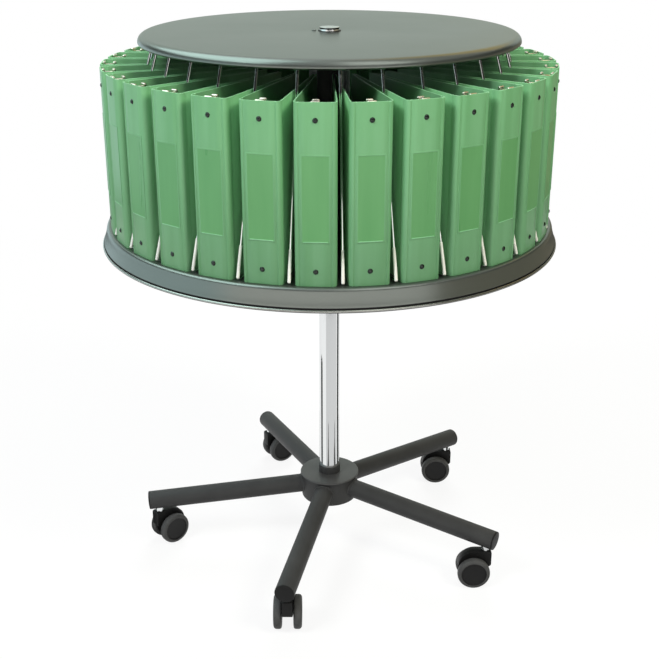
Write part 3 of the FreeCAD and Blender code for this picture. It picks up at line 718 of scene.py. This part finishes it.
tray = lathe([(SLEEVE_RADIUS, tray_top - SHEET), (EDGE_RADIUS - SHEET, tray_top - SHEET, 4),
              (liner_radius, bead_top + GROOVE), (liner_radius, bead_top, 0.3),
              (lip_radius - BEAD, bead_top - 1, 0.5), (lip_radius - BEAD, tray_low, 2.4),
              (lip_radius, tray_low, 2.7), (lip_radius, bead_top, 2.7),
              (lip_radius - BEAD_DEPTH, bead_top, 0.3),
              (lip_radius - BEAD_DEPTH, bead_top + GROOVE, 0.3),
              (lip_radius - SKIRT_FOOT, bead_top + GROOVE, 0.8),
              (EDGE_RADIUS + SHOULDER_OUT, tray_top - SHOULDER_DROP, 9), (EDGE_RADIUS, tray_top, 6),
              (SLEEVE_RADIUS, tray_top)], DISC_STEPS, 5)
for face in tray.faces:
    spot = face.calc_center_median() / MM
    inset, height = lip_radius - spot.xy.length, spot.z - tray_low
    in_groove = BEAD - SLACK < height < BEAD + GROOVE + SLACK and inset > GROOVE_SHADE_START
    # Faces on the bead take the bright metal: a painted highlight.
    if inset < EDGE_MARK_REACH and height < BEAD + SLACK:
        face.material_index = 1
    # Faces in the groove and at the lip's foot take the near-black finish: painted shade.
    if inset < EDGE_MARK_REACH and (in_groove or height < LIP_FOOT):
        face.material_index = 2
keep(tray, "binder_tray", [disc_lacquer, bead_highlight_metal, groove_shade_black], "carousel",
     ["bottom_disc"])

lid_top = high("rotor_sleeve").z + SHEET
lid_low = low("top_disc").z
lid_radius = high("top_disc").x
LID_HOLE = 22
RIM_DROP_INSIDE, RIM_DROP = 13, 15
HEM_INSIDE, HEM_OUTSIDE = 5, 3
SCREW_OFFSET = -31
SCREW_HOLE_RADIUS, SCREW_HOLE_DEPTH = 4.8, 10
SHADE_RING_INSIDE, SHADE_RING_OUTSIDE, SHADE_RING_HEIGHT = 1.6, 0.6, 1.2
lid = lathe([(LID_HOLE, lid_top - SHEET), (lid_radius - SHEET, lid_top - SHEET, 10),
             (lid_radius - SHEET, lid_top - RIM_DROP_INSIDE, 1.5),
             (lid_radius - HEM_INSIDE, lid_low, 0.4), (lid_radius - HEM_OUTSIDE, lid_low, 0.6),
             (lid_radius, lid_top - RIM_DROP, 0.8), (lid_radius, lid_top, 14),
             (LID_HOLE, lid_top, 0.4)], DISC_STEPS, 9)
screw_hole = bmesh.new()
bmesh.ops.create_cone(screw_hole, cap_ends=True, segments=24, radius1=SCREW_HOLE_RADIUS * MM,
                      radius2=SCREW_HOLE_RADIUS * MM, depth=SCREW_HOLE_DEPTH * MM)
keep(pierced(lid, moved(screw_hole, (SCREW_OFFSET, 0, lid_top))),
     "top_disc_shell", disc_lacquer, "carousel", ["top_disc"])
# A near-black ring round the hole in the top disc: painted shade where the spindle meets the disc.
keep(lathe([(LID_HOLE - SHADE_RING_INSIDE, lid_top - SHEET), (LID_HOLE + SHADE_RING_OUTSIDE, lid_top, 0.2),
            (LID_HOLE + SHADE_RING_OUTSIDE, lid_top + SHADE_RING_HEIGHT, 0.5),
            (LID_HOLE - SHADE_RING_INSIDE, lid_top + SHADE_RING_HEIGHT, 0.3)], 64),
     "lid_hole_shade_ring", groove_shade_black, "carousel")
print("tray", round(2 * lip_radius), "mm wide, top disc", round(2 * lid_radius), "mm wide")

# %% [markdown]
# ## Sleeve, straps and screws
#
# Between the discs stands a dark sleeve with a flange at each end, and a galvanised slotted
# strap on either side of it. The slots are cut with a boolean, because their round ends
# would take longer to draw. A slot's cutter is the convex hull of two cylinders.

# %% Sleeve and bushes
FLANGE = 5
UPPER_FLANGE = 60
SLEEVE_BORE = 21
BUSH_BORE = 20.05
BUSH_LENGTH = 30
sleeve_low, sleeve_top = low("rotor_sleeve").z, high("rotor_sleeve").z
lower_flange = high("rotor_sleeve").x
keep(lathe([(SLEEVE_BORE, sleeve_low), (SLEEVE_RADIUS, sleeve_low, 0.6),
            (SLEEVE_RADIUS, tray_top - SHEET - FLANGE), (lower_flange, tray_top - SHEET - FLANGE, 0.6),
            (lower_flange, tray_top - SHEET, 0.6), (SLEEVE_RADIUS, tray_top - SHEET),
            (SLEEVE_RADIUS, sleeve_top - FLANGE), (UPPER_FLANGE, sleeve_top - FLANGE, 0.6),
            (UPPER_FLANGE, sleeve_top, 0.6), (SLEEVE_BORE, sleeve_top)]),
     "rotor_sleeve_tube", powder_coat, "carousel", ["rotor_sleeve"])
bushes = [lathe([(BUSH_BORE, bottom), (SLEEVE_BORE, bottom), (SLEEVE_BORE, bottom + BUSH_LENGTH),
                 (BUSH_BORE, bottom + BUSH_LENGTH)])
          for bottom in (sleeve_low, sleeve_top - BUSH_LENGTH)]
keep(joined(*bushes), "sleeve_bush_pair", acetal, "carousel", ["sleeve_bushes"])
print("sleeve from", round(sleeve_low, 1), "to", round(sleeve_top, 1), "mm")

# %% Straps
STRAP_WIDTH = 16
STRAP_HALF = 1.5
SLOT_RADIUS = 2.5
SLOT_LENGTH = 40
SLOT_PITCH = 80
SLOTS = 4
FIRST_SLOT_DROP = 121.5
CUTTER_DEPTH = 12
strap_top = high("slotted_straps").z
first_slot = lid_top - FIRST_SLOT_DROP


def slot_tool(top):
    """A cutter for one slot that ends at a height."""
    bm = bmesh.new()
    for z in (top - SLOT_RADIUS, top - SLOT_LENGTH + SLOT_RADIUS):
        tool = bmesh.ops.create_cone(bm, cap_ends=True, segments=16, radius1=SLOT_RADIUS * MM,
                                     radius2=SLOT_RADIUS * MM, depth=CUTTER_DEPTH * MM)["verts"]
        bmesh.ops.rotate(bm, verts=tool, cent=(0, 0, 0), matrix=Matrix.Rotation(math.pi / 2, 3, "X"))
        bmesh.ops.translate(bm, verts=tool, vec=Vector((SLEEVE_RADIUS + STRAP_WIDTH / 2, 0, z)) * MM)
    hull = bmesh.ops.convex_hull(bm, input=bm.verts[:])
    bmesh.ops.delete(bm, geom=only(BMVert, hull["geom_interior"]), context="VERTS")
    return bm


straps = []
for azimuth in (90, -90):
    strap = block((SLEEVE_RADIUS, -STRAP_HALF, tray_top),
                  (SLEEVE_RADIUS + STRAP_WIDTH, STRAP_HALF, strap_top), 0.3)
    cutters = joined(*(slot_tool(first_slot - SLOT_PITCH * number) for number in range(SLOTS)))
    straps.append(turned(pierced(strap, cutters), azimuth))
# The straps take the near-white finish: painted light in the shade under the top disc.
keep(joined(*straps), "slotted_strap_pair", strap_painted_light, "carousel", ["slotted_straps"])
print("two straps with", SLOTS, "slots each")

# %% Screws with hexagon sockets
# Head radius, head height, shank radius and shank length.
TRAY_SCREW = (5, 2.5, 3, 7)
LID_SCREW = (4, 4.4, 3, 5)
TRAY_SCREWS = 4
SCREW_CIRCLE = 60
KEY_SHARE = 0.45
KEY_DEPTH_SHARE = 0.6


def socket_screw(head_radius, head_height, shank_radius, shank_length):
    """A screw that points down, with its head's underside at the origin."""
    bm = bmesh.new()
    key_radius = head_radius * KEY_SHARE
    rims = []
    for sides, radius in ((24, head_radius), (6, key_radius)):
        circle = bmesh.ops.create_circle(bm, cap_ends=False, segments=sides, radius=radius * MM)["verts"]
        bmesh.ops.translate(bm, verts=circle, vec=(0, 0, head_height * MM))
        rims.append({edge for point in circle for edge in point.link_edges})
    bmesh.ops.bridge_loops(bm, edges=bm.edges[:])
    key_floor = pushed(bm, list(rims[1]), (0, 0, -head_height * KEY_DEPTH_SHARE))
    bmesh.ops.edgeloop_fill(bm, edges=key_floor)
    foot = pushed(bm, list(rims[0]), (0, 0, -head_height))
    foot = pushed(bm, foot, widen=shank_radius / head_radius)
    foot = pushed(bm, foot, (0, 0, -shank_length))
    bmesh.ops.edgeloop_fill(bm, edges=foot)
    bmesh.ops.recalc_face_normals(bm, faces=bm.faces)
    return softened(bm, 0.35, 2, 60)


screws = [turned(moved(socket_screw(*TRAY_SCREW), (SCREW_CIRCLE, 0, tray_top)),
                 45 + 360 / TRAY_SCREWS * number) for number in range(TRAY_SCREWS)]
screws.append(moved(socket_screw(*LID_SCREW), (SCREW_OFFSET, 0, lid_top - SHEET)))
keep(joined(*screws), "disc_socket_screws", zinc, "carousel", ["disc_screws"])
print(len(screws), "screws")

# %% [markdown]
# ## Wire dividers
#
# A chrome wire leans inwards between each pair of binders, from the tray to the top disc. A
# circle is extruded along each straight run and spun round each bend, where a curve with a
# bevel would need handles set by hand. The white sleeve on its foot is a spun outline that
# tapers upwards, laid along the wire.

# %% Wires
BAYS = 30
BAY = 360 / BAYS
FIRST_BINDER = 9
FOOT_THICKNESS = 6
WIRE_RADIUS = 2.5
WIRE_BEND = 9
FOOT_SLEEVE_LENGTH = 59
FOOT_SLEEVE_STRAIGHT = 24
FOOT_SLEEVE_TIP = 2.65
FOOT_SLEEVE_LIFT = 1.5
FOOT_RADIUS, FOOT_LENGTH = 448, 30
HEAD_RADIUS, HEAD_LENGTH = 342, 26

foot_height = tray_top + FOOT_THICKNESS / 2
rise = Vector((HEAD_RADIUS - FOOT_RADIUS, 0, lid_top - SHEET - WIRE_RADIUS - foot_height))
lean = math.degrees(math.atan2(rise.z, rise.x))
foot_reach = WIRE_BEND * math.tan(math.radians(lean / 2))
head_reach = WIRE_BEND * math.tan(math.radians((180 - lean) / 2))
wires, sleeves = [], []
sleeve_foot = Vector((FOOT_RADIUS, 0, foot_height)) + rise.normalized() * FOOT_SLEEVE_LIFT
for number in range(BAYS):
    azimuth = FIRST_BINDER + BAY * (number + 0.5)
    wire = bent_bar(WIRE_RADIUS, (FOOT_RADIUS - FOOT_LENGTH, 0, foot_height),
                    [FOOT_LENGTH - foot_reach, rise.length - foot_reach - head_reach,
                     HEAD_LENGTH - head_reach],
                    [lean, 180 - lean], WIRE_BEND, 16)
    wires.append(turned(wire, azimuth))
    sleeve = lathe([(0, 0), (FOOT_THICKNESS / 2, 0, 2.4), (FOOT_THICKNESS / 2, FOOT_SLEEVE_STRAIGHT),
                    (FOOT_SLEEVE_TIP, FOOT_SLEEVE_LENGTH, 0.3), (0, FOOT_SLEEVE_LENGTH)], 16)
    sleeves.append(turned(laid_along(sleeve, sleeve_foot, rise), azimuth))
keep(joined(*wires), "divider_wire_set", chrome, "carousel", ["divider_wires"])
keep(joined(*sleeves), "divider_sleeves", white_vinyl, "carousel")
print(BAYS, "wires that lean by", round(lean - 90, 1), "degrees")

# %% [markdown]
# ## Ring binders
#
# A binder is three boards welded into green film: a spine and two covers that close in
# towards the column. Half of its plan is drawn as a line of points, mirrored, extruded
# upwards and given the boards' thickness. Its rims that face up and down get a paler finish, a painted
# highlight.

# %% Binder cover
SPINE = 449
SPINE_HALF = 37.19
BACK = 164
BACK_HALF = 15.99
BOARD = 2.4
BINDER_HEIGHT = 318
FILM_ROUNDING = 0.6
# Half of the spine, from its middle: depth behind the face, and distance from the middle.
# The dip near the end is the pressed hinge, and the last points turn the rounded corner.
SPINE_LINE = [(0, 0), (0.15, 15), (0.4, 25.6), (1.7, 27.0), (1.7, 28.4), (0.6, 29.8), (1.5, 32.2),
              (3.2, 34.2), (5.8, 35.6), (8.8, 36.3)]
# The cover's side, from that corner to the back: distance along it, and depth of its groove.
COVER_LINE = [(9.5, 0), (13, 0), (13.9, 0.9), (15.5, 0.9), (16.5, 0), (278, 0)]
binder_low = low("binder_01").z


def cover_line():
    """Half of the binder's outer line in plan, from the middle of the spine to the back."""
    flank = Vector((BACK - SPINE + BOARD, BACK_HALF - SPINE_HALF)).normalized()
    inwards = Vector((-flank.y, flank.x))
    corner = Vector((SPINE - BOARD, SPINE_HALF))
    line = [(SPINE - depth, aside) for depth, aside in SPINE_LINE]
    for along, depth in COVER_LINE:
        point = corner + flank * along + inwards * depth
        line.append((point.x, point.y))
    return line


def cover_shape():
    """The film and boards of one binder, its spine facing +X."""
    bm = bmesh.new()
    points = [bm.verts.new((x * MM, y * MM, binder_low * MM)) for x, y in cover_line()]
    for start, end in zip(points, points[1:]):
        bm.edges.new((start, end))
    bmesh.ops.mirror(bm, geom=bm.verts[:] + bm.edges[:], matrix=Matrix.Identity(4),
                     merge_dist=MERGE_DISTANCE, axis="Y")
    pushed(bm, bm.edges[:], (0, 0, BINDER_HEIGHT))
    bmesh.ops.recalc_face_normals(bm, faces=bm.faces)
    if max(bm.faces, key=lambda face: face.calc_center_median().x).normal.x < 0:
        bmesh.ops.reverse_faces(bm, faces=bm.faces)
    bmesh.ops.solidify(bm, geom=bm.faces[:], thickness=BOARD * MM)
    softened(bm, FILM_ROUNDING, 2, 65)
    bm.normal_update()
    # Faces that point up or down take the paler rim finish: a painted highlight.
    for face in bm.faces:
        face.material_index = 1 if abs(face.normal.z) > 0.4 else 0
    return bm


print("binder plan:", len(cover_line()), "points on each side")

# %% [markdown]
# ## Label pocket, rivets and ring mechanism
#
# The pocket is a clear sheet welded on along its border, so only its window looks darker.
# Two domed rivets hold a pressed steel plate inside the spine. It carries four rings and,
# at the top, the thumb lever that shows as a bright spot.

# %% Binder fittings
POCKET_HALF = 25
POCKET_FOOT, POCKET_HEAD = 78, 231
WELD_BORDER = 3.2
WINDOW_STEP, WINDOW_SUNK = 0.5, 0.35
SEAM_INSET, SEAM_FOOT, SEAM_HEAD, SEAM_PROUD = 4, 1.4, 3.2, 0.9
RIVET_BELOW_TOP, RIVET_ABOVE_FOOT = 30, 27
RIVET_OUTLINE = [(0, -0.6), (4.75, -0.6), (4.75, 0.3, 0.2), (4.3, 0.3), (3.7, 1.5, 0.9), (2.0, 2.5, 1.4),
                 (0, 2.8)]
PLATE_INSIDE = 438.6
PLATE_HALF = 15
PLATE_MARGIN = 6
LEVER_END = 420.6
RINGS = 4
RING_PITCH = 80
RING_THICKNESS = 3.2
RING_RUNS = [26, 8, 26]
RING_BEND = 10
RING_SIDE = -14
RING_OFFSET = 2
pocket_low, pocket_high = binder_low + POCKET_FOOT, binder_low + POCKET_HEAD
binder_top = binder_low + BINDER_HEIGHT
plate_front = SPINE - BOARD


def pocket_shape():
    """The clear pocket, its window inside a welded border, with a raised seam at its foot."""
    bm = block((SPINE - 0.5, -POCKET_HALF, pocket_low), (SPINE + 0.4, POCKET_HALF, pocket_high), 0.25)
    window = [max(bm.faces, key=lambda face: face.normal.x * face.calc_area())]
    bmesh.ops.inset_region(bm, faces=window, thickness=WELD_BORDER * MM, depth=0)
    step = bmesh.ops.inset_region(bm, faces=window, thickness=WINDOW_STEP * MM,
                                  depth=-WINDOW_SUNK * MM)["faces"]
    for face in window + step:
        face.material_index = 1
    seam_half = POCKET_HALF - SEAM_INSET
    seam = block((SPINE, -seam_half, pocket_low + SEAM_FOOT),
                 (SPINE + SEAM_PROUD, seam_half, pocket_low + SEAM_HEAD), 0.5)
    # The seam takes the paler rim finish: a painted highlight along the pocket's foot.
    for face in seam.faces:
        face.material_index = 2
    return joined(bm, seam)


def rivet_shape():
    """Both rivets of a spine, as low domes with a flat rim that face +X."""
    domes = []
    for height in (binder_top - RIVET_BELOW_TOP, binder_low + RIVET_ABOVE_FOOT):
        domes.append(laid_along(lathe(RIVET_OUTLINE, 20, 3), (SPINE - 0.2, 0, height), (1, 0, 0)))
    return joined(*domes)


def mechanism_shape():
    """Base plate, four rings and the thumb lever."""
    middle = (binder_low + binder_top) / 2
    parts = [block((PLATE_INSIDE, -PLATE_HALF, binder_low + PLATE_MARGIN),
                   (plate_front, PLATE_HALF, binder_top - PLATE_MARGIN), 2.6, 3)]
    for number in range(RINGS):
        height = middle + RING_PITCH * (number - (RINGS - 1) / 2)
        ring = bent_bar(RING_THICKNESS / 2, (0, 0, 0), RING_RUNS, [90, 90], RING_BEND, 8, 4)
        rotated(rotated(ring, 90, "X"), 180)
        parts.append(moved(ring, (PLATE_INSIDE + RING_OFFSET, RING_SIDE, height)))
    lever_base = block((plate_front - 5.6, -8, binder_top - 7), (plate_front, 8, binder_top + 1), 2.0, 4)
    lever_arm = block((LEVER_END + 4, -3, binder_top - 9), (plate_front - 4, 3, binder_top - 4), 1.4)
    thumb_pad = block((LEVER_END, -6.5, binder_top - 8), (LEVER_END + 6, 6.5, binder_top + 0.4), 2.4, 4)
    parts += [lever_base, lever_arm, thumb_pad]
    return joined(*parts)


cover, pocket, rivets, mechanism = cover_shape(), pocket_shape(), rivet_shape(), mechanism_shape()
print("faces of a cover:", len(cover.faces), "and of its mechanism:", len(mechanism.faces))

# %% Thirty filed binders
for number in range(1, BAYS + 1):
    azimuth = FIRST_BINDER + BAY * (number - 1)
    body = f"filed_binder_{number:02d}"
    keep(turned(cover.copy(), azimuth), f"binder_cover_{number:02d}", [green_film, film_rim_highlight], body,
         [f"binder_{number:02d}"], 40)
    keep(turned(pocket.copy(), azimuth), f"label_pocket_{number:02d}",
         [green_film, pocket_film, film_rim_highlight], body)
    keep(turned(rivets.copy(), azimuth), f"spine_rivets_{number:02d}", gunmetal_and_cap_shade, body)
    keep(turned(mechanism.copy(), azimuth), f"ring_mechanism_{number:02d}", nickel, body)
print(BAYS, "binders filed")

# %% [markdown]
# ## Studio
#
# The room is white for the camera and for reflections, while its light on the cabinet stays
# low. Polished metal also needs something dark to mirror, or it looks like white paint: a
# drape hangs round the front and dark paper lies further out on the floor. A cool window on
# the left, a bright one in front, a warm wall on the right, a grey wall at the back and
# softboxes overhead tint the lacquer. Only reflections see them.

# %% Room
def studio_white(tree):
    """1 where a camera, glossy or transmitted ray looks, and 0 where light is gathered."""
    rays = add(tree, "ShaderNodeLightPath")
    seen = add(tree, "ShaderNodeMath", {"operation": "MAXIMUM"},
               links={0: rays.outputs["Is Camera Ray"], 1: rays.outputs["Is Glossy Ray"]})
    return add(tree, "ShaderNodeMath", {"operation": "MAXIMUM"},
               links={0: seen.outputs[0], 1: rays.outputs["Is Transmission Ray"]}).outputs[0]


ROOM_LIGHT = 0.06
world = bpy.data.worlds.new("white_room")
bpy.context.scene.world = world
room = fresh_nodes(world)
level = add(room, "ShaderNodeMapRange", values={"To Min": ROOM_LIGHT, "To Max": 1.0},
            links={"Value": studio_white(room)})
backdrop = add(room, "ShaderNodeBackground", values={"Color": (1, 1, 1, 1)},
               links={"Strength": level.outputs[0]})
add(room, "ShaderNodeOutputWorld", links={"Surface": backdrop.outputs[0]})
print("room light on the cabinet:", ROOM_LIGHT)

# %% Floor and drape finishes
# Matt white paper: it keeps the shadow near the cabinet and brightens to plain white
# further out. It throws back the light of a mid-grey floor, so the undersides stay dark.
NEAR_GLOW = 0.87
pale_floor = bpy.data.materials.new("matt_white_paper")
paper = fresh_nodes(pale_floor)
seen = studio_white(paper)
spot = add(paper, "ShaderNodeTexCoord")
far = add(paper, "ShaderNodeVectorMath", {"operation": "LENGTH"}, links={0: spot.outputs["Object"]})
glow = add(paper, "ShaderNodeMapRange",
           values={"From Min": 0.9, "From Max": 2.8, "To Min": NEAR_GLOW, "To Max": 1.0},
           links={"Value": far.outputs["Value"]})
share = add(paper, "ShaderNodeMath", {"operation": "MULTIPLY"}, links={0: glow.outputs[0], 1: seen})
shade = add(paper, "ShaderNodeMix", {"data_type": "RGBA"},
            {MIX_FIRST: linear("A6A6A5"), MIX_SECOND: linear("F6F6F5")}, {0: seen})
matt = add(paper, "ShaderNodeBsdfDiffuse", links={"Color": shade.outputs[MIX_RESULT]})
light = add(paper, "ShaderNodeEmission", values={"Color": (1, 1, 1, 1)})
mixed = add(paper, "ShaderNodeMixShader",
            links={0: share.outputs[0], 1: matt.outputs[0], 2: light.outputs[0]})
add(paper, "ShaderNodeOutputMaterial", links={"Surface": mixed.outputs[0]})
print("floor finish made")


def wall_finish(name, colour, strength=1):
    """A plain wall or softbox, as bright as its colour times a strength."""
    material = bpy.data.materials.new(name)
    tree = fresh_nodes(material)
    plain = add(tree, "ShaderNodeEmission", values={"Color": linear(colour), "Strength": strength})
    add(tree, "ShaderNodeOutputMaterial", links={"Surface": plain.outputs[0]})
    return material


# %% Floor, drape and walls
# Heights of the edges that the bands share, as (radius, height) in metres.
WALL_FOOT, WALL_HEAD = (1.9, 0.4), (1.9, 1.27)
DRAPE_HEAD, CEILING_EDGE = (1.9, 1.95), (0.7, 3.1)
# Name, finish, colour, strength, two edges, azimuth and spread of each.
WALLS = [
    ("outer_floor", "dark_floor_paper", "484847", 1, (8, 0.002), (2.45, 0.002), 0, 360),
    ("front_floor", "grey_floor_paper", "DCDCDC", 1, (2.4, 0.002), (0.35, 0.002), 22, 120),
    ("back_wall", "grey_back_wall", "CAD6CD", 1, (3.6, 0.3), (3.6, 4.2), 180, 100),
    ("left_window", "cool_window", "E4FCFF", 1.15, WALL_FOOT, WALL_HEAD, -95, 100),
    ("front_window", "front_window", "FFFBF6", 1.35, (1.9, 0.5), WALL_HEAD, 0, 88),
    ("right_wall", "warm_side_wall", "8E8774", 1, WALL_FOOT, WALL_HEAD, 95, 100),
    ("cool_softbox", "cool_softbox", "DDF5F2", 3.5, DRAPE_HEAD, CEILING_EDGE, -83, 92),
    ("front_flag", "front_flag", "F0F0F0", 0.5, DRAPE_HEAD, CEILING_EDGE, -13.5, 47),
    ("front_softbox", "front_softbox", "F4F4EE", 2.1, DRAPE_HEAD, CEILING_EDGE, 29, 38),
    ("side_flag", "side_flag", "F2F0E6", 0.4, DRAPE_HEAD, CEILING_EDGE, 80, 64),
    ("warm_softbox", "warm_softbox", "E8CC84", 1.2, DRAPE_HEAD, CEILING_EDGE, 138, 44),
    ("cool_ceiling", "cool_ceiling", "E6F5F2", 2.8, CEILING_EDGE, (0.5, 3.1), -90, 130),
    ("plain_ceiling", "plain_ceiling", "F2F2EE", 0.6, (0.7, 3.102), (0, 3.102), 0, 360),
]


def stage_band(name, material, seen, start, end, azimuth=0, spread=360):
    """A band between two (radius, height) points in metres, swept about Z round an azimuth."""
    bm = bmesh.new()
    bm.edges.new([bm.verts.new((radius, 0, height)) for radius, height in (start, end)])
    swept(turned(bm, azimuth - spread / 2), spread, max(4, round(spread / 5)))
    mesh = mesh_of(bm, name)
    mesh.materials.append(material)
    band = placed(name, mesh)
    band.visible_camera = band.visible_shadow = band.visible_diffuse = seen


stage_band("studio_floor", pale_floor, True, (0, 0), (40, 0))
black_cloth = wall_finish("black_stage_cloth", "2A2B2A")
stage_band("front_drape", black_cloth, False, WALL_HEAD, DRAPE_HEAD, 0, 260)
stage_band("left_strip", black_cloth, False, (0.35, 0.003), (1.3, 0.003), -95, 24)
stage_band("right_strip", black_cloth, False, (0.35, 0.003), (2.1, 0.003), 105, 26)
for name, finish_name, colour, strength, start, end, azimuth, spread in WALLS:
    stage_band(name, wall_finish(finish_name, colour, strength), False, start, end, azimuth, spread)
print("floor, drape and walls in place")

# %% Lamps
# Place in metres, size, power in watts and tint. Two high side lamps light the near edge of
# each binder and leave the gap behind it dark. Weak ones in front fill the spines.
AIM_HEIGHT = 0.7
LAMPS = {
    "key_lamp": ((0.0, -2.7, 3.5), 1.4, 20, (1.0, 1.0, 1.0)),
    "left_lamp": ((-2.9, -2.27, 4.2), 1.6, 174, (0.97, 1.0, 1.02)),
    "right_lamp": ((2.8, -2.19, 4.1), 1.6, 150, (1.0, 0.99, 0.84)),
    "low_lamp": ((0.0, -3.4, 1.71), 0.5, 8, (1.0, 1.0, 1.0)),
    "rear_lamp": ((0.3, 3.0, 3.0), 2.0, 100, (0.97, 1.0, 1.0)),
}
for name, (location, size, power, tint) in LAMPS.items():
    lamp_data = bpy.data.lights.new(name, "AREA")
    lamp_data.size = size
    lamp_data.energy = power
    lamp_data.color = tint
    lamp = placed(name, lamp_data)
    lamp.location = location
    aim = Vector((0, 0, AIM_HEIGHT)) - Vector(location)
    lamp.rotation_euler = aim.to_track_quat("-Z", "Y").to_euler()
    lamp.visible_camera = False
    lamp.visible_glossy = False
print(len(LAMPS), "soft lamps")
